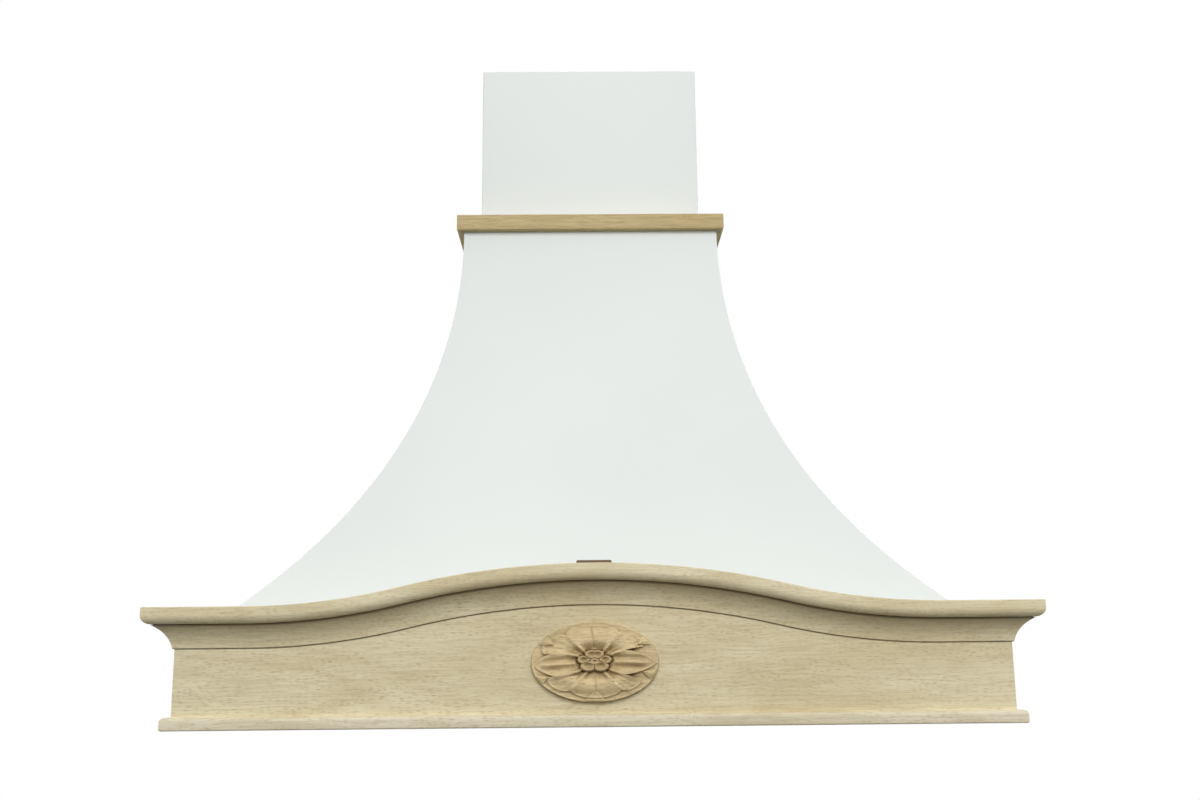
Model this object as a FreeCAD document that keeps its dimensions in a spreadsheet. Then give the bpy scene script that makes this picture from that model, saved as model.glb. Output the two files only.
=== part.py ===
"""Chimney range hood: a raw wood frame and collar round a white sheet metal dome.

Frame of reference: X to the right, Y into the wall, Z up, in millimetres.  The wall is
the plane Y = 0 and the underside of the wooden frame is Z = 0, on the centre line.
Left and right are as seen by someone who stands in front of the hood.
"""
import FreeCAD, Part
import math
import os
import re
import Sketcher

os.makedirs("parts", exist_ok=True)
doc = FreeCAD.newDocument("range_hood")

# ---------------------------------------------------------------- driving dimensions
SIZES = {
    # wooden frame
    "frame_width": 900,          # over the outer faces of the side boards
    "frame_depth": 480,          # wall to the front face of the front board
    "board_thick": 20,
    "rail_thick": 18,
    "base_height": 13.5,         # strip under the boards
    "base_nose": 9.5,            # how far that strip stands out
    "base_top_round": 4.5,
    "base_foot_round": 2,
    # cornice, as reach from the board's face and height above its lower line
    "cornice_foot": 85,
    "cornice_height": 43.4,
    "cornice_reach": 29.5,
    "crown_flat": 8.7,
    "crown_round": 9,
    "crown_ease": 0.8,
    "groove_width": 1.2,
    "groove_depth": 3,
    "cove_radius": 31,
    "cove_reach": 19.5,
    "foot_reach": 1.6,
    "foot_ease": 0.8,
    # arch of the front board and its cornice
    "arch_rise": 43,
    "arch_half_run": 371,
    "arch_crest_run": 199,
    # carved oval rosette
    "rosette_width": 137,
    "rosette_tall": 84,
    "rosette_height": 67.5,
    "rosette_ground": 4,
    "rosette_relief": 6,
    "rosette_end_round": 27.8,
    "knot_round": 13,
    "knot_rise": 3,
    # inner wood
    "batten_side": 20,
    "block_side": 25,
    "block_tall": 37.5,
    "crest_block_width": 39,
    "crest_block_show": 6,
    "crest_block_drop": 42,
    "crest_block_round": 5,
    # sheet metal dome
    "neck_width": 330,
    "neck_depth": 281,
    "dome_top": 622.8,
    "dome_foot": 105,
    "skirt": 20,
    "sheet": 1.2,
    "neck_flange": 20,
    # collar boards round the neck
    "collar_thick": 20.7,
    "collar_overhang": 9,
    "collar_board": 50,
    "collar_round": 1.5,
    # chimney cover
    "chimney_width": 290,
    "chimney_depth": 250,
    "chimney_tall": 220.2,
    "chimney_return": 12,
    "chimney_bend": 2,
    "bracket_tall": 30,
    "bracket_drop": 10,
    "bracket_arm": 40,
    "bracket_side_gap": 2,
    "bracket_jog": 6,
    "bracket_sheet": 2,
    "wall_hole": 4,
    "wall_hole_spacing": 240,
    "wall_hole_height": 500,
    "bracket_hole": 3,
    "bracket_hole_spacing": 160,
    # lower tray with the filters
    "tray_height": 45,
    "tray_sheet": 1.5,
    "tray_gap": 1,
    "front_strip": 130,          # from the front board's face back to the filters
    "filter_width": 310,
    "filter_back": 80,
    "filter_depth": "frame_depth - front_strip - filter_back",
    "filter_thick": 10,
    "filter_spacing": 340,
    "filter_gap": 2,
    "filter_border": 14,
    "filter_front_border": 24,
    "hinge_pin": 1.5,
    "hinge_set_back": 2.5,
    "hinge_rise": 4,
    "hinge_reach": 3.8,
    "ear_sheet": 1.5,
    "ear_half": 4,
    "running_gap": 0.08,
    "moving_gap": 0.3,
    "baffle_count": 8,
    "baffle_pitch": 36,
    "baffle_width": 24,
    "baffle_lip": 5.5,
    "baffle_sheet": 0.9,
    "baffle_inset": 0.5,
    "latch_width": 24,
    "latch_depth": 10,
    "latch_thick": 3,
    "latch_travel": 4,
    "latch_tongue": 12,
    "latch_reach": 3.5,
    "latch_grip": 18,
    "latch_grip_inset": 0.2,
    "latch_rise": 1.6,
    "latch_set_back": 3,
    # lamps and switches in the front strip of the tray
    "strip_middle": 80,          # from the front board's face back to lamps and switches
    "lamp_spacing": 600,
    "lamp_back": "frame_depth - strip_middle",
    "lamp_round": 32,
    "lamp_rim": 37,
    "lamp_rim_thick": 1.5,
    "lamp_tall": 28,
    "lamp_wall": 2,
    "lens_thick": 3,
    "lens_inset": 0.5,
    "switch_back": "frame_depth - strip_middle",
    "switch_width": 170,
    "switch_depth": 34,
    "switch_thick": 3,
    "switch_cutout": 130,
    "slot_width": 4,
    "speed_travel": 36,
    "lamp_travel": 12,
    "speed_place": -50,
    "lamp_switch_place": 40,
    "knob_width": 14,
    "knob_depth": 9,
    "knob_tall": 6,
    "slider_foot": 10,
    "slider_foot_thick": 2,
    "slider_room": 2,
    "slider_stem": 8.4,
    # fan
    "fan_back": 185,
    "fan_height": 400,
    "fan_half_width": 70,
    "fan_wall": 1.5,
    "scroll_start": 88,
    "scroll_step": 12,
    "cutoff_place": 20,
    "outlet_rise": 120,
    "inlet_round": 60,
    "wheel_outer": 75,
    "wheel_inner": 62,
    "wheel_half_width": 60,
    "wheel_plate": 1,
    "wheel_ring": 2,
    "blade_count": 24,
    "blade_thick": 1,
    "blade_inset": 1,            # from the edges of the wheel's rings
    "hub_round": 10,
    "hub_start": 14,
    "hub_long": 20,
    "shaft_round": 4,
    "shaft_tail": 20,
    "shaft_bite": 23.5,
    "motor_round": 42,
    "motor_end_round": 33.6,
    "motor_step": 4,
    "motor_start": 10,
    "motor_bore_depth": 24,
    "bracket_hub": 30,
    "ring_outside": 7,           # of the bracket's ring, from the edge of the fan's inlet
    "ring_inside": 4,
    "bracket_spoke": 12,
    # duct
    "duct_back": 116,
    "duct_outer": 74.5,
    "duct_wall": 2.5,
    "duct_flare": 25,
    "duct_rise": 67,
    "duct_flange": 92,
    "duct_shoulder": 1,          # the duct pipe slides down on to this step
    "duct_shoulder_rise": 2,
    "flap_height": 17,
    "flap_pin": 1.5,
    "flap_thick": 1,
    "flap_gap": 1.5,
    "stop_reach": 6,             # small ledges on which the closed flaps rest
    "stop_half": 4,
    "stop_thick": 2,
    "knuckle_round": 2.8,
    "knuckle_long": 24,
    "knuckle_neck": 0.4,
    "pin_inset": 0.2,
    "terminal_width": 110,
    "terminal_tall": 60,
    "terminal_deep": 42,
    "terminal_place": 210,
    "terminal_height": 150,
    "cable_hole": 8,
}

sheet = doc.addObject("Spreadsheet::Sheet", "sizes")
for row, (alias, size) in enumerate(SIZES.items(), 1):
    sheet.set(f"A{row}", alias)
    sheet.setAlias(f"B{row}", alias)
    sheet.set(f"B{row}", f"={size}")
doc.recompute()


def bound(text):
    """The expression with every size's name written as a cell of the sheet."""
    return re.sub(r"[a-z][a-z_]+", lambda word: "sizes." + word.group(0)
                  if word.group(0) in SIZES else word.group(0), str(text))


def value(text):
    """The number that an expression stands for now."""
    return float(sheet.evalExpression(bound(text)))


# ---------------------------------------------------------------- drawing helpers
nodes = []


def body(label, shift=None):
    """A new sub-part, moved by three expressions where it is drawn about its own middle."""
    part = doc.addObject("PartDesign::Body", label)
    part.Label = label
    for axis, text in zip("xyz", shift or ()):
        part.setExpression(f".Placement.Base.{axis}", bound(text))
    nodes.append(part)
    return part


def sketch(part, plane, start):
    """An empty sketch on one of the body's own planes, start along its normal.

    The normals are +X for YZ, -Y (towards the room) for XZ and +Z for XY.
    """
    drawing = part.newObject("Sketcher::SketchObject", part.Label + "_sketch")
    base = [item for item in part.Origin.OriginFeatures if item.Role == plane + "_Plane"][0]
    drawing.AttachmentSupport = [(base, "")]
    drawing.MapMode = "FlatFace"
    drawing.setExpression("AttachmentOffset.Base.z", bound(start))
    return drawing


def pin_point(drawing, edge, end, across, up):
    """Fix one end of an edge at two expressions, measured from the sketch's origin."""
    for kind, text in (("DistanceX", across), ("DistanceY", up)):
        rule = drawing.addConstraint(Sketcher.Constraint(kind, -1, 1, edge, end, value(text)))
        drawing.setExpression(f"Constraints[{rule}]", bound(text))


def outline(drawing, corners, closed=True):
    """Lines and arcs from corner to corner.

    A corner is (across, up), or (across, up, radius, turn) where the edge that leaves it is
    an arc: turn 1 is anticlockwise and -1 clockwise.
    """
    places = [FreeCAD.Vector(value(corner[0]), value(corner[1]), 0) for corner in corners]
    count = len(corners) if closed else len(corners) - 1
    ends = []
    for index in range(count):
        first, last = places[index], places[(index + 1) % len(places)]
        corner = corners[index]
        if len(corner) == 2:
            edge = drawing.addGeometry(Part.LineSegment(first, last), False)
            ends.append((edge, 1, 2))
            continue
        radius, turn = value(corner[2]), corner[3]
        chord = last - first
        rise = math.sqrt(max(radius ** 2 - chord.Length ** 2 / 4, 0))
        side = FreeCAD.Vector(-chord.y, chord.x, 0).normalize()
        middle = (first + last) * 0.5 + side * rise * turn
        circle = Part.Circle(middle, FreeCAD.Vector(0, 0, 1), radius)
        angles = [math.atan2(end.y - middle.y, end.x - middle.x) for end in (first, last)]
        low, high = angles if turn > 0 else angles[::-1]
        edge = drawing.addGeometry(Part.ArcOfCircle(circle, low, high), False)
        rule = drawing.addConstraint(Sketcher.Constraint("Radius", edge, radius))
        drawing.setExpression(f"Constraints[{rule}]", bound(corner[2]))
        ends.append((edge, 1, 2) if turn > 0 else (edge, 2, 1))
    for index, (edge, begin, _end) in enumerate(ends):
        pin_point(drawing, edge, begin, corners[index][0], corners[index][1])
        if index or closed:
            before, _begin, finish = ends[index - 1]
            drawing.addConstraint(Sketcher.Constraint("Coincident", before, finish, edge, begin))
    if not closed:
        pin_point(drawing, ends[-1][0], ends[-1][2], corners[-1][0], corners[-1][1])
    return drawing


def circles(drawing, centres, radius):
    """Full circles of one radius."""
    for across, up in centres:
        place = FreeCAD.Vector(value(across), value(up), 0)
        round_edge = Part.Circle(place, FreeCAD.Vector(0, 0, 1), value(radius))
        edge = drawing.addGeometry(round_edge, False)
        pin_point(drawing, edge, 3, across, up)
        rule = drawing.addConstraint(Sketcher.Constraint("Radius", edge, value(radius)))
        drawing.setExpression(f"Constraints[{rule}]", bound(radius))
    return drawing


def grow(part, kind, drawing, length):
    """Pad or pocket the sketch along its normal."""
    feature = part.newObject("PartDesign::" + kind, part.Label + "_" + kind.lower())
    feature.Profile = drawing
    feature.Reversed = kind == "Pocket"
    feature.setExpression("Length", bound(length))
    drawing.Visibility = False
    return feature


def pad(part, plane, start, length, corners):
    return grow(part, "Pad", outline(sketch(part, plane, start), corners), length)


def cut(part, plane, start, length, corners):
    return grow(part, "Pocket", outline(sketch(part, plane, start), corners), length)


def pad_round(part, plane, start, length, centres, radius, hole=None):
    drawing = circles(sketch(part, plane, start), centres, radius)
    if hole is not None:
        circles(drawing, centres, hole)
    return grow(part, "Pad", drawing, length)


def drill(part, plane, start, length, centres, radius):
    return grow(part, "Pocket", circles(sketch(part, plane, start), centres, radius), length)


def revolve(part, start, corners, axis_height, angle, side):
    """Turn an outline of the YZ plane about a line along Y at a height.

    It turns from the plane towards the middle from the left (side -1) or right (side 1), or
    half the angle to each side of the plane (side 0).
    """
    drawing = outline(sketch(part, "YZ", start), corners)
    height = value(axis_height)
    axis = drawing.addGeometry(Part.LineSegment(FreeCAD.Vector(0, height, 0),
                                                FreeCAD.Vector(-1, height, 0)), True)
    pin_point(drawing, axis, 1, "0", axis_height)
    pin_point(drawing, axis, 2, "-1", axis_height)
    feature = part.newObject("PartDesign::Revolution", part.Label + "_revolution")
    feature.Profile = drawing
    feature.ReferenceAxis = (drawing, ["Axis0"])
    feature.Midplane = side == 0
    feature.Reversed = side > 0
    feature.setExpression("Angle", bound(angle))
    drawing.Visibility = False
    return feature


def box(low_across, low_up, high_across, high_up):
    return [(low_across, low_up), (high_across, low_up),
            (high_across, high_up), (low_across, high_up)]


def middle_box(across, up, width, height):
    return box(f"{across} - {width} / 2", f"{up} - {height} / 2",
               f"{across} + {width} / 2", f"{up} + {height} / 2")


def flip(corners, side):
    """The same outline for the left (side -1) or right (side 1) of the hood."""
    flipped = []
    for corner in corners:
        arc = (corner[2], side * corner[3]) if len(corner) == 4 else ()
        flipped.append((f"{side} * ({corner[0]})", corner[1]) + arc)
    return flipped


def swap(corners):
    """An outline drawn as (reach, height), for a plane whose first axis runs into the wall."""
    return flip(corners, -1)


SIDES = (("left", -1), ("right", 1))

# ---------------------------------------------------------------- worked-out places
HALF = "(frame_width / 2)"
INNER = "(frame_width / 2 - board_thick)"
INNER_FRONT = "(frame_depth - board_thick)"
CORNICE_TOP = "(cornice_foot + cornice_height)"
SKIRT_FOOT = "(dome_foot - skirt)"
TRAY_TOP = "(tray_height + tray_sheet)"
COLLAR_TOP = "(dome_top + collar_thick)"
CHIMNEY_TOP = "(dome_top + collar_thick + chimney_tall)"
PLATE_FOOT = "(dome_top - tray_sheet)"
FLANGE_FOOT = "(dome_top - tray_sheet - duct_wall)"

# ---------------------------------------------------------------- arch
# The lower line of the cornice runs flat, rises through a hollow arc and goes over the
# crest on a second arc.  The two arcs meet with one slope, so both turn by the same angle.
ARCH_TAN = "(arch_rise / arch_half_run)"
ARCH_SIN = f"(2 * {ARCH_TAN} / (1 + {ARCH_TAN} * {ARCH_TAN}))"
ARCH_COS = f"((1 - {ARCH_TAN} * {ARCH_TAN}) / (1 + {ARCH_TAN} * {ARCH_TAN}))"
CREST_ROUND = f"(arch_crest_run / {ARCH_SIN})"
HOLLOW_ROUND = f"((arch_half_run - arch_crest_run) / {ARCH_SIN})"


def arch(above, end):
    """The arched line at a height above the cornice's foot, from right to left."""
    crest, hollow = f"({CREST_ROUND} + {above})", f"({HOLLOW_ROUND} - {above})"
    meet = f"({crest} * {ARCH_SIN})"
    meet_up = f"(cornice_foot + arch_rise - {CREST_ROUND} + {crest} * {ARCH_COS})"
    flat = f"(cornice_foot + {above})"
    return [(end, flat), ("arch_half_run", flat, hollow, -1), (meet, meet_up, crest, 1),
            (f"-{meet}", meet_up, hollow, -1), ("-arch_half_run", flat), (f"-{end}", flat)]


# ---------------------------------------------------------------- mouldings
CROWN_FOOT = "(cornice_height - crown_flat - crown_round)"


def cornice_profile(foot, face):
    """Cornice section as (reach, height): foot lip, cove, sharp groove and rounded crown."""
    points = [
        ("0", "0"),
        ("foot_reach - foot_ease", "0"),
        ("foot_reach", "foot_ease", "cove_radius", -1),
        ("cove_reach", f"{CROWN_FOOT} - groove_width"),
        ("cove_reach - groove_depth", f"{CROWN_FOOT} - groove_width"),
        ("cove_reach - groove_depth", CROWN_FOOT),
        ("cornice_reach - crown_round", CROWN_FOOT, "crown_round", 1),
        ("cornice_reach", "cornice_height - crown_flat"),
        ("cornice_reach", "cornice_height - crown_ease"),
        ("cornice_reach - crown_ease", "cornice_height"),
        ("0", "cornice_height"),
    ]
    return [(f"{face} + {point[0]}", f"{foot} + {point[1]}") + point[2:] for point in points]


def base_profile(face):
    """Base strip section as (reach, height), with its rounded nose."""
    nose = f"{face} + base_nose"
    return [
        (f"{face} - board_thick", "0"),
        (f"{nose} - base_foot_round", "0", "base_foot_round", 1),
        (nose, "base_foot_round"),
        (nose, "base_height - base_top_round", "base_top_round", 1),
        (f"{nose} - base_top_round", "base_height"),
        (f"{face} - board_thick", "base_height"),
    ]


def collar_profile(edge):
    """Collar board section as (reach, height), with eased outer edges."""
    return [
        (f"{edge} - collar_board", "dome_top"),
        (f"{edge} - collar_round", "dome_top", "collar_round", 1),
        (edge, "dome_top + collar_round"),
        (edge, f"{COLLAR_TOP} - collar_round", "collar_round", 1),
        (f"{edge} - collar_round", COLLAR_TOP),
        (f"{edge} - collar_board", COLLAR_TOP),
    ]


def mitre_front(part, across, front, reach, inward, low, tall):
    """Trim both ends of a front piece at 45 degrees, through the corner (across, -front)."""
    out, back = f"({across} + {reach})", f"({front} + {reach})"
    inner, behind = f"({across} - {inward})", f"({front} - {inward})"
    for _name, side in SIDES:
        cut(part, "XY", low, tall, flip([(inner, f"-{behind}"), (out, f"-{back}"),
                                         (out, f"-{behind}")], side))


def mitre_side(part, side, across, front, reach, inward, low, tall):
    """Trim the front end of a side piece on the same line."""
    out, back = f"({across} + {reach})", f"({front} + {reach})"
    inner, behind = f"({across} - {inward})", f"({front} - {inward})"
    cut(part, "XY", low, tall, flip([(inner, f"-{behind}"), (out, f"-{back}"),
                                     (inner, f"-{back}")], side))


# ---------------------------------------------------------------- wooden frame
front = body("front_fascia")
pad(front, "XZ", INNER_FRONT, "board_thick",
    [(f"-{HALF}", "base_height"), (HALF, "base_height")] + arch("cornice_height", HALF))
mitre_front(front, HALF, "frame_depth", "0", "board_thick", "0", "cornice_foot * 4")

for name, side in SIDES:
    board = body(name + "_fascia")
    pad(board, "XZ", "0", "frame_depth",
        flip(box(INNER, "base_height", HALF, CORNICE_TOP), side))
    mitre_side(board, side, HALF, "frame_depth", "0", "board_thick", "0", "cornice_foot * 4")

cornice = body("front_cornice")
END = "(frame_width / 2 + cornice_reach * 2)"
level = swap(cornice_profile("cornice_foot", "frame_depth"))
crest_level = swap(cornice_profile("(cornice_foot + arch_rise)", "frame_depth"))
for start in ("arch_half_run", f"-{END}"):
    pad(cornice, "YZ", start, f"{END} - arch_half_run", level)
ARC_TURN = "2 * atan(arch_rise / arch_half_run)"
revolve(cornice, "0", crest_level, f"cornice_foot + arch_rise - {CREST_ROUND}",
        f"2 * {ARC_TURN}", 0)
for _name, side in SIDES:
    revolve(cornice, f"{side} * arch_half_run", level, f"cornice_foot + {HOLLOW_ROUND}",
            ARC_TURN, side)
mitre_front(cornice, HALF, "frame_depth", "cornice_reach * 3", "0", "0", "cornice_foot * 4")

for name, side in SIDES:
    cornice = body(name + "_cornice")
    pad(cornice, "XZ", "0", "frame_depth + cornice_reach * 2",
        flip(cornice_profile("cornice_foot", HALF), side))
    mitre_side(cornice, side, HALF, "frame_depth", "cornice_reach * 3", "0", "0",
               "cornice_foot * 4")

strip = body("front_base_strip")
pad(strip, "YZ", f"-({HALF} + base_nose)", "frame_width + base_nose * 2",
    swap(base_profile("frame_depth")))
mitre_front(strip, HALF, "frame_depth", "base_nose * 2", "board_thick", "0", "base_height")
for name, side in SIDES:
    strip = body(name + "_base_strip")
    pad(strip, "XZ", "0", "frame_depth + base_nose", flip(base_profile(HALF), side))
    mitre_side(strip, side, HALF, "frame_depth", "base_nose * 2", "board_thick", "0",
               "base_height")

rail = body("back_rail")
pad(rail, "XZ", "0", "rail_thick", box(f"-{INNER}", "0", INNER, SKIRT_FOOT))

for name, side in SIDES:
    batten = body(name + "_batten")
    pad(batten, "XY", TRAY_TOP, "batten_side",
        flip(box(f"{INNER} - batten_side", f"-({INNER_FRONT} - block_side)",
                 INNER, "-rail_thick"), side))
CROSS = f"({INNER} - batten_side)"
BETWEEN_BLOCKS = f"({INNER} - block_side)"
for name, reach, face in (("front_batten", BETWEEN_BLOCKS, INNER_FRONT),
                          ("rear_batten", CROSS, "(rail_thick + batten_side)")):
    batten = body(name)
    pad(batten, "XY", TRAY_TOP, "batten_side",
        box(f"-{reach}", f"-{face}", reach, f"-({face} - batten_side)"))

blocks = body("corner_blocks")
for _name, side in SIDES:
    pad(blocks, "XY", TRAY_TOP, "block_tall",
        flip([(INNER, f"-{INNER_FRONT}"), (INNER, f"-({INNER_FRONT} - block_side)"),
              (f"{INNER} - block_side / 2", f"-({INNER_FRONT} - block_side)"),
              (f"{INNER} - block_side", f"-({INNER_FRONT} - block_side / 2)"),
              (f"{INNER} - block_side", f"-{INNER_FRONT}")], side))

# ---------------------------------------------------------------- carved rosette
rosette = body("rosette")
RIM = "(rosette_width / 2)"
RIM_UP = "(rosette_tall / 2)"
FACE = "frame_depth"
oval = sketch(rosette, "XZ", FACE)
# four arcs: the ends of the oval are rounder than its long sides
END_ROUND = "rosette_end_round"
RUN = f"({RIM} - {END_ROUND})"
LONG_ROUND = f"(({RUN} * {RUN} + {RIM_UP} * {RIM_UP} - {END_ROUND} * {END_ROUND})" \
             f" / (2 * ({RIM_UP} - {END_ROUND})))"
DROP = f"({LONG_ROUND} - {RIM_UP})"
SHARE = f"({LONG_ROUND} / ({LONG_ROUND} - {END_ROUND}))"
MEET = f"({RUN} * {SHARE})"
MEET_UP = f"({DROP} * {SHARE} - {DROP})"
outline(oval, [(MEET, f"rosette_height + {MEET_UP}", LONG_ROUND, 1),
               (f"-{MEET}", f"rosette_height + {MEET_UP}", END_ROUND, 1),
               (f"-{MEET}", f"rosette_height - {MEET_UP}", LONG_ROUND, 1),
               (MEET, f"rosette_height - {MEET_UP}", END_ROUND, 1)])
grow(rosette, "Pad", oval, "rosette_ground")
# Half a petal as shares of the oval's half sizes: (reach from the middle, share of the
# petal's half width).  The taper of the pad gives the petals their sloping sides.
PETAL = ((0.22, 0.35), (0.62, 1.0), (0.86, 0.8), (0.96, 0.0))
PETAL_COUNT, PETAL_HALF_WIDE, PETAL_HALF_SLIM, PETAL_TAPER = 8, 0.30, 0.26, -28
for index in range(PETAL_COUNT):
    angle = math.radians(360 / PETAL_COUNT * index)
    along, up = math.cos(angle), math.sin(angle)
    half = PETAL_HALF_SLIM if index % 2 else PETAL_HALF_WIDE
    edge = [(reach, share * half) for reach, share in PETAL]
    edge += [(reach, -spread) for reach, spread in edge[-2::-1]]
    petal = [(f"{RIM} * ({reach * along - spread * up:.4f})",
              f"rosette_height + {RIM_UP} * ({reach * up + spread * along:.4f})")
             for reach, spread in edge]
    leaf = pad(rosette, "XZ", f"{FACE} + rosette_ground", "rosette_relief", petal)
    leaf.TaperAngle = PETAL_TAPER
pad_round(rosette, "XZ", f"{FACE} + rosette_ground", "rosette_relief + knot_rise",
          [("0", "rosette_height")], "knot_round")

# ---------------------------------------------------------------- sheet metal dome
# Each face is one sheet bent to an arc: upright at the neck and meeting the inner face of
# its board at the dome's foot, where a short skirt turns down along the board.
FALL = "(dome_top - dome_foot)"
CLEAR = 50                   # how far the trimming outlines run past the sheet


def flare(neck, board):
    """Radius of the arc from the neck to the board."""
    return f"(({FALL} * {FALL} + ({board} - {neck}) * ({board} - {neck}))" \
           f" / (2 * ({board} - {neck})))"


SIDE_NECK, FRONT_NECK = "(neck_width / 2)", "neck_depth"
SIDE_FLARE = flare(SIDE_NECK, INNER)
FRONT_FLARE = flare(FRONT_NECK, INNER_FRONT)


def inner_foot(neck, board, radius, inset):
    """Height where a sheet set in by some amount meets the skirt."""
    gap = f"({neck} + {radius} - {board} + {inset})"
    return f"(dome_top - sqrt(({radius} + {inset}) * ({radius} + {inset}) - {gap} * {gap}))"


def sheet_profile(neck, board, radius):
    """The bent sheet as (reach, height)."""
    return [
        (neck, "dome_top", radius, 1),
        (board, "dome_foot"),
        (board, SKIRT_FOOT),
        (f"{board} - sheet", SKIRT_FOOT),
        (f"{board} - sheet", inner_foot(neck, board, radius, "sheet"),
         f"{radius} + sheet", -1),
        (f"{neck} - sheet", "dome_top"),
    ]


def beyond(neck, board, radius, inset):
    """All that lies outside the sheet's outer face (inset 0) or inner face."""
    far, over, under = f"{board} + {CLEAR}", f"dome_top + {CLEAR}", f"{SKIRT_FOOT} - {CLEAR}"
    return [
        (f"{neck} - {inset}", over),
        (f"{neck} - {inset}", "dome_top", f"{radius} + {inset}", 1),
        (f"{board} - {inset}", inner_foot(neck, board, radius, inset)),
        (f"{board} - {inset}", under),
        (far, under),
        (far, over),
    ]


panel = body("dome_front_panel")
pad(panel, "YZ", f"-{INNER}", f"2 * {INNER}",
    swap(sheet_profile(FRONT_NECK, INNER_FRONT, FRONT_FLARE)))
for _name, side in SIDES:
    cut(panel, "XZ", "0", "frame_depth", flip(beyond(SIDE_NECK, INNER, SIDE_FLARE, "0"), side))

for name, side in SIDES:
    panel = body(f"dome_{name}_panel")
    pad(panel, "XZ", "0", INNER_FRONT, flip(sheet_profile(SIDE_NECK, INNER, SIDE_FLARE), side))
    cut(panel, "YZ", f"-{HALF}", "frame_width",
        swap(beyond(FRONT_NECK, INNER_FRONT, FRONT_FLARE, "sheet")))

WALL_HOLES = [(f"{side} * wall_hole_spacing / 2", "wall_hole_height") for _name, side in SIDES]
back = body("back_panel")
inner_neck = f"{SIDE_NECK} - sheet"
pad(back, "XZ", "0", "sheet", [
    (f"{INNER} - sheet", SKIRT_FOOT),
    (f"{INNER} - sheet", inner_foot(SIDE_NECK, INNER, SIDE_FLARE, "sheet"),
     f"{SIDE_FLARE} + sheet", -1),
    (inner_neck, "dome_top"),
    (f"-({inner_neck})", "dome_top", f"{SIDE_FLARE} + sheet", -1),
    (f"-({INNER} - sheet)", inner_foot(SIDE_NECK, INNER, SIDE_FLARE, "sheet")),
    (f"-({INNER} - sheet)", SKIRT_FOOT)])
drill(back, "XZ", "-sheet", "sheet * 3", WALL_HOLES, "wall_hole")

plate = body("neck_plate")
NECK_IN, NECK_FRONT = "(neck_width / 2 - sheet)", "(neck_depth - sheet)"
pad(plate, "XY", "dome_top - neck_flange", "neck_flange",
    box(f"-{NECK_IN}", f"-{NECK_FRONT}", NECK_IN, "-sheet"))
cut(plate, "XY", "dome_top - neck_flange", "neck_flange - tray_sheet",
    box(f"-({NECK_IN} - sheet)", f"-({NECK_FRONT} - sheet)", f"{NECK_IN} - sheet", "-sheet * 2"))
drill(plate, "XY", PLATE_FOOT, "tray_sheet", [("0", "-duct_back")],
      "duct_outer + duct_shoulder + moving_gap")

crest = body("crest_block")
CREST_TOP = f"({CORNICE_TOP} + arch_rise + crest_block_show)"
CREST_HALF = "(crest_block_width / 2)"
pad(crest, "XZ", "neck_depth", f"{INNER_FRONT} - neck_depth", [
    (f"-{CREST_HALF}", f"{CREST_TOP} - crest_block_drop"),
    (CREST_HALF, f"{CREST_TOP} - crest_block_drop"),
    (CREST_HALF, f"{CREST_TOP} - crest_block_round", "crest_block_round", 1),
    (f"{CREST_HALF} - crest_block_round", CREST_TOP),
    (f"-({CREST_HALF} - crest_block_round)", CREST_TOP, "crest_block_round", 1),
    (f"-{CREST_HALF}", f"{CREST_TOP} - crest_block_round")])
# its back follows the dome's front sheet, a little clear of it, and ends at the board
cut(crest, "YZ", f"-{HALF}", "frame_width", swap([
    (f"{FRONT_NECK} + moving_gap", "dome_top", f"{FRONT_FLARE} - moving_gap", 1),
    (INNER_FRONT, inner_foot(FRONT_NECK, INNER_FRONT, FRONT_FLARE, "(-moving_gap)")),
    ("0", "0"), ("0", "dome_top")]))

# ---------------------------------------------------------------- collar
COLLAR_SIDE = "(neck_width / 2 + collar_overhang)"
COLLAR_FRONT = "(neck_depth + collar_overhang)"
collar = body("collar_front")
pad(collar, "YZ", f"-{COLLAR_SIDE}", f"2 * {COLLAR_SIDE}", swap(collar_profile(COLLAR_FRONT)))
mitre_front(collar, COLLAR_SIDE, COLLAR_FRONT, "collar_board", "collar_board",
            "dome_top - 1", "collar_thick + 2")
for name, side in SIDES:
    collar = body(f"collar_{name}")
    pad(collar, "XZ", "0", COLLAR_FRONT, flip(collar_profile(COLLAR_SIDE), side))
    mitre_side(collar, side, COLLAR_SIDE, COLLAR_FRONT, "collar_board", "collar_board",
               "dome_top - 1", "collar_thick + 2")

# ---------------------------------------------------------------- chimney cover
chimney = body("chimney_cover")
CHIMNEY_HALF = "(chimney_width / 2)"
TURN_IN = f"({CHIMNEY_HALF} - chimney_return)"
right_side = [
    (TURN_IN, "0"), (CHIMNEY_HALF, "0"),
    (CHIMNEY_HALF, "-(chimney_depth - chimney_bend)", "chimney_bend", -1),
    (f"{CHIMNEY_HALF} - chimney_bend", "-chimney_depth")]
inner_side = [
    (f"{CHIMNEY_HALF} - chimney_bend", "-(chimney_depth - sheet)",
     "chimney_bend - sheet", 1),
    (f"{CHIMNEY_HALF} - sheet", "-(chimney_depth - chimney_bend)"),
    (f"{CHIMNEY_HALF} - sheet", "-sheet"), (TURN_IN, "-sheet")]
left_side = [
    (f"-({CHIMNEY_HALF} - chimney_bend)", "-chimney_depth", "chimney_bend", -1),
    (f"-{CHIMNEY_HALF}", "-(chimney_depth - chimney_bend)"), (f"-{CHIMNEY_HALF}", "0"),
    (f"-{TURN_IN}", "0"), (f"-{TURN_IN}", "-sheet"), (f"-({CHIMNEY_HALF} - sheet)", "-sheet"),
    (f"-({CHIMNEY_HALF} - sheet)", "-(chimney_depth - chimney_bend)",
     "chimney_bend - sheet", 1),
    (f"-({CHIMNEY_HALF} - chimney_bend)", "-(chimney_depth - sheet)")]
pad(chimney, "XY", COLLAR_TOP, "chimney_tall", right_side + left_side + inner_side)
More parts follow.
